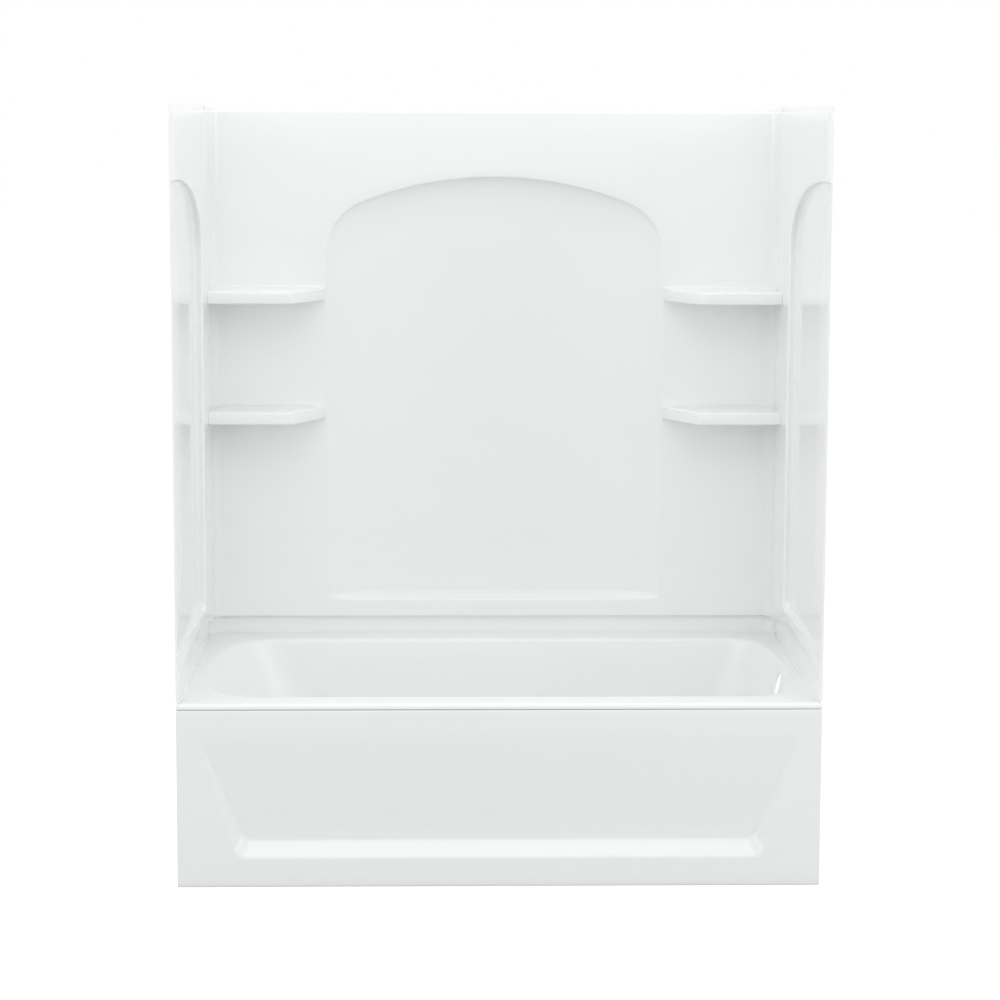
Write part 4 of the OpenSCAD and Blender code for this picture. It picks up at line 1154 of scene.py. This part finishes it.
def sawn_timber():
    """Softwood along X: rings are bands of the distance from an axis, bent by long noise."""
    material, place = start_material("sawn_softwood")
    bend = place.scaled(0.7, 3.0, 3.0).noise(2.0, 2.0, 0.5)
    moved = place.node("VectorMath", {"operation": "ADD"}, {0: place, 1: (0.0, 0.31, 0.12)})
    axis = moved.scaled(0.0, 1.0, 1.0)
    distance = axis.node("VectorMath", {"operation": "LENGTH"}, {0: axis}, out="Value")
    grown = distance * RINGS_PER_METRE + bend * 9.0
    rings = grown.math("FRACT", grown)
    late = (rings ** 3.0).step(0.1, 0.9)
    fibre = place.scaled(9.0, 900.0, 900.0).noise(1.0, 2.0, 0.6)
    saw = place.scaled(330.0, 6.0, 6.0).noise(1.0, 1.0, 0.5)
    tone = late * 0.65 + fibre * 0.3
    return finish_material(
        material, place, fibre * 0.6 + saw * 0.5 - late * 0.3, 0.00025, **{
            "Base Color": tone.ramp(*WOOD), "Roughness": 0.62 + fibre * 0.2})


def particle_board():
    """Pressed chips: cells, each with its own tone, over finer flakes of noise."""
    material, place = start_material("particle_board")
    cells = {"Vector": place.scaled(1.0, 1.0, 2.5), "Scale": 210.0}
    chips = place.node("TexVoronoi", None, cells, out="Color")
    tone = chips.node("RGBToBW", None, {"Color": chips})
    flakes = place.scaled(160.0, 420.0, 420.0).noise(1.0, 3.0, 0.6)
    mixed = tone * 0.6 + flakes * 0.5
    return finish_material(
        material, place, mixed, 0.0003, **{
            "Base Color": mixed.ramp(*CHIPS), "Roughness": 0.7 + flakes * 0.15})


def sealant_bead():
    """Set silicone: satin white, smoothed by a wet finger, so faint marks run along it."""
    material, place = start_material("white_sealant")
    drag = place.scaled(30.0, 30.0, 160.0).noise(1.0, 2.0, 0.5)
    cloud = place.noise(14.0, 2.0, 0.5)
    return finish_material(
        material, place, drag, 0.00008, **{
            "Base Color": cloud.mix((0.90, 0.91, 0.905, 1), (0.935, 0.943, 0.938, 1)),
            "Roughness": 0.30 + drag * 0.1})


def bright_zinc():
    """Zinc plate: bright metal with a cold, slightly uneven film and fine turning marks."""
    material, place = start_material("bright_zinc")
    film = place.noise(120.0, 3.0, 0.6)
    turned = place.noise(1900.0, 1.0, 0.5)
    return finish_material(
        material, place, turned, 0.00003, **{
            "Base Color": film.mix((0.56, 0.58, 0.61, 1), (0.72, 0.71, 0.67, 1)), "Metallic": 1.0,
            "Roughness": 0.24 + film * 0.16})


# %% Finishes of the CAD pieces
timber, board, bead, zinc = sawn_timber(), particle_board(), sealant_bead(), bright_zinc()
finishes = {
    timber: ["front_bearer", "middle_bearer", "rear_bearer", "rim_bar", "apron_batten", "wall_stiffeners"],
    board: ["base_board"],
    bead: ["back_deck_seal", "left_deck_seal", "right_deck_seal", "left_corner_seal", "right_corner_seal",
           "bonding_pads"],
    zinc: ["bearer_screws", "apron_clips", "clip_screws", "apron_screws", "left_joint_bolts",
           "right_joint_bolts", "joint_washers", "joint_nuts"],
}
for finish, names in finishes.items():
    for node_name in names:
        mesh = frame["nodes"][node_name].data
        mesh.materials.clear()
        mesh.materials.append(finish)
    print(finish.name, "on", len(names), "nodes")


# %% [markdown]
# Floor and light
#
# The photograph is a cut-out on pure white with very soft light from above
# and in front. The floor is pale, white to the camera, and keeps a faint
# shadow. The world gives most of the light, and the lamps shape it.

# %% Floor
# The camera sees the floor glow at FLOOR_GLOW and darken a little where the
# object keeps light off it. All other rays meet a plain pale grey.
FLOOR_HALF, FLOOR_Z, FLOOR_GLOW = 30.0, -0.001, 0.86


def make_floor():
    """A large square just under the object that shows white and keeps the shadow."""
    corners = [(x * FLOOR_HALF, y * FLOOR_HALF, FLOOR_Z) for x, y in ((-1, -1), (1, -1), (1, 1), (-1, 1))]
    mesh = new_mesh("floor", np.array(corners), np.array([[0, 1, 2, 3]]))
    floor = bpy.data.objects.new("floor", mesh)
    bpy.context.scene.collection.objects.link(floor)
    material = bpy.data.materials.new("floor_white")
    tree = empty_tree(material)
    seen = tree.node("LightPath", out="Is Camera Ray")
    plain = tree.node("BsdfDiffuse", None, {"Color": (0.6, 0.6, 0.6, 1)})
    grey = tree.node("BsdfDiffuse", None, {"Color": (0.3, 0.3, 0.3, 1)})
    glow = tree.node("Emission", None, {"Strength": FLOOR_GLOW})
    both = tree.node("AddShader", None, {0: grey, 1: glow})
    tree.node("MixShader", None, {0: seen, 1: plain, 2: both}).end("OutputMaterial")
    mesh.materials.append(material)
    return floor


make_floor()

# %% World
WORLD_COLOUR, WORLD_STRENGTH = (0.978, 1.0, 0.993, 1), 0.94


def make_world():
    """White for camera, glossy and transmission rays, and an even, slightly cool white for the light
    that falls on the object."""
    world = bpy.data.worlds.new("studio")
    bpy.context.scene.world = world
    sky = empty_tree(world)
    seen = sky.node("LightPath", out="Is Camera Ray")
    for ray in ("Is Transmission Ray", "Is Glossy Ray"):
        seen = seen.math("MAXIMUM", seen, sky.node("LightPath", out=ray))
    light = sky.node("Background", None, {"Color": WORLD_COLOUR, "Strength": WORLD_STRENGTH})
    white = sky.node("Background", None, {"Color": (1, 1, 1, 1), "Strength": 1.0})
    sky.node("MixShader", None, {0: seen, 1: light, 2: white}).end("OutputWorld")
    return world


make_world()

# %% Lamps


def soft_lamp(name, at, aim, size, power):
    """A square area lamp that points from at towards aim."""
    data = bpy.data.lights.new(name, "AREA")
    data.shape = "SQUARE"
    data.size = size
    data.energy = power
    lamp = bpy.data.objects.new(name, data)
    bpy.context.scene.collection.objects.link(lamp)
    lamp.location = at
    lamp.rotation_mode = "QUATERNION"
    lamp.rotation_quaternion = (Vector(aim) - Vector(at)).to_track_quat("-Z", "Y")
    return lamp


soft_lamp("right_light", (4.9, -3.5, 2.6), (-0.3, 0, 1.0), 2.5, 38)
soft_lamp("left_light", (-4.9, -3.5, 2.6), (0.3, 0, 1.0), 2.5, 31)
soft_lamp("front_light", (0, -4.4, 5.4), (0, 0.2, 1.1), 2.6, 26)
soft_lamp("top_light", (0, 0, 5.6), (0, 0, 0.4), 2.4, 14)
bpy.context.scene.view_settings.view_transform = "Standard"
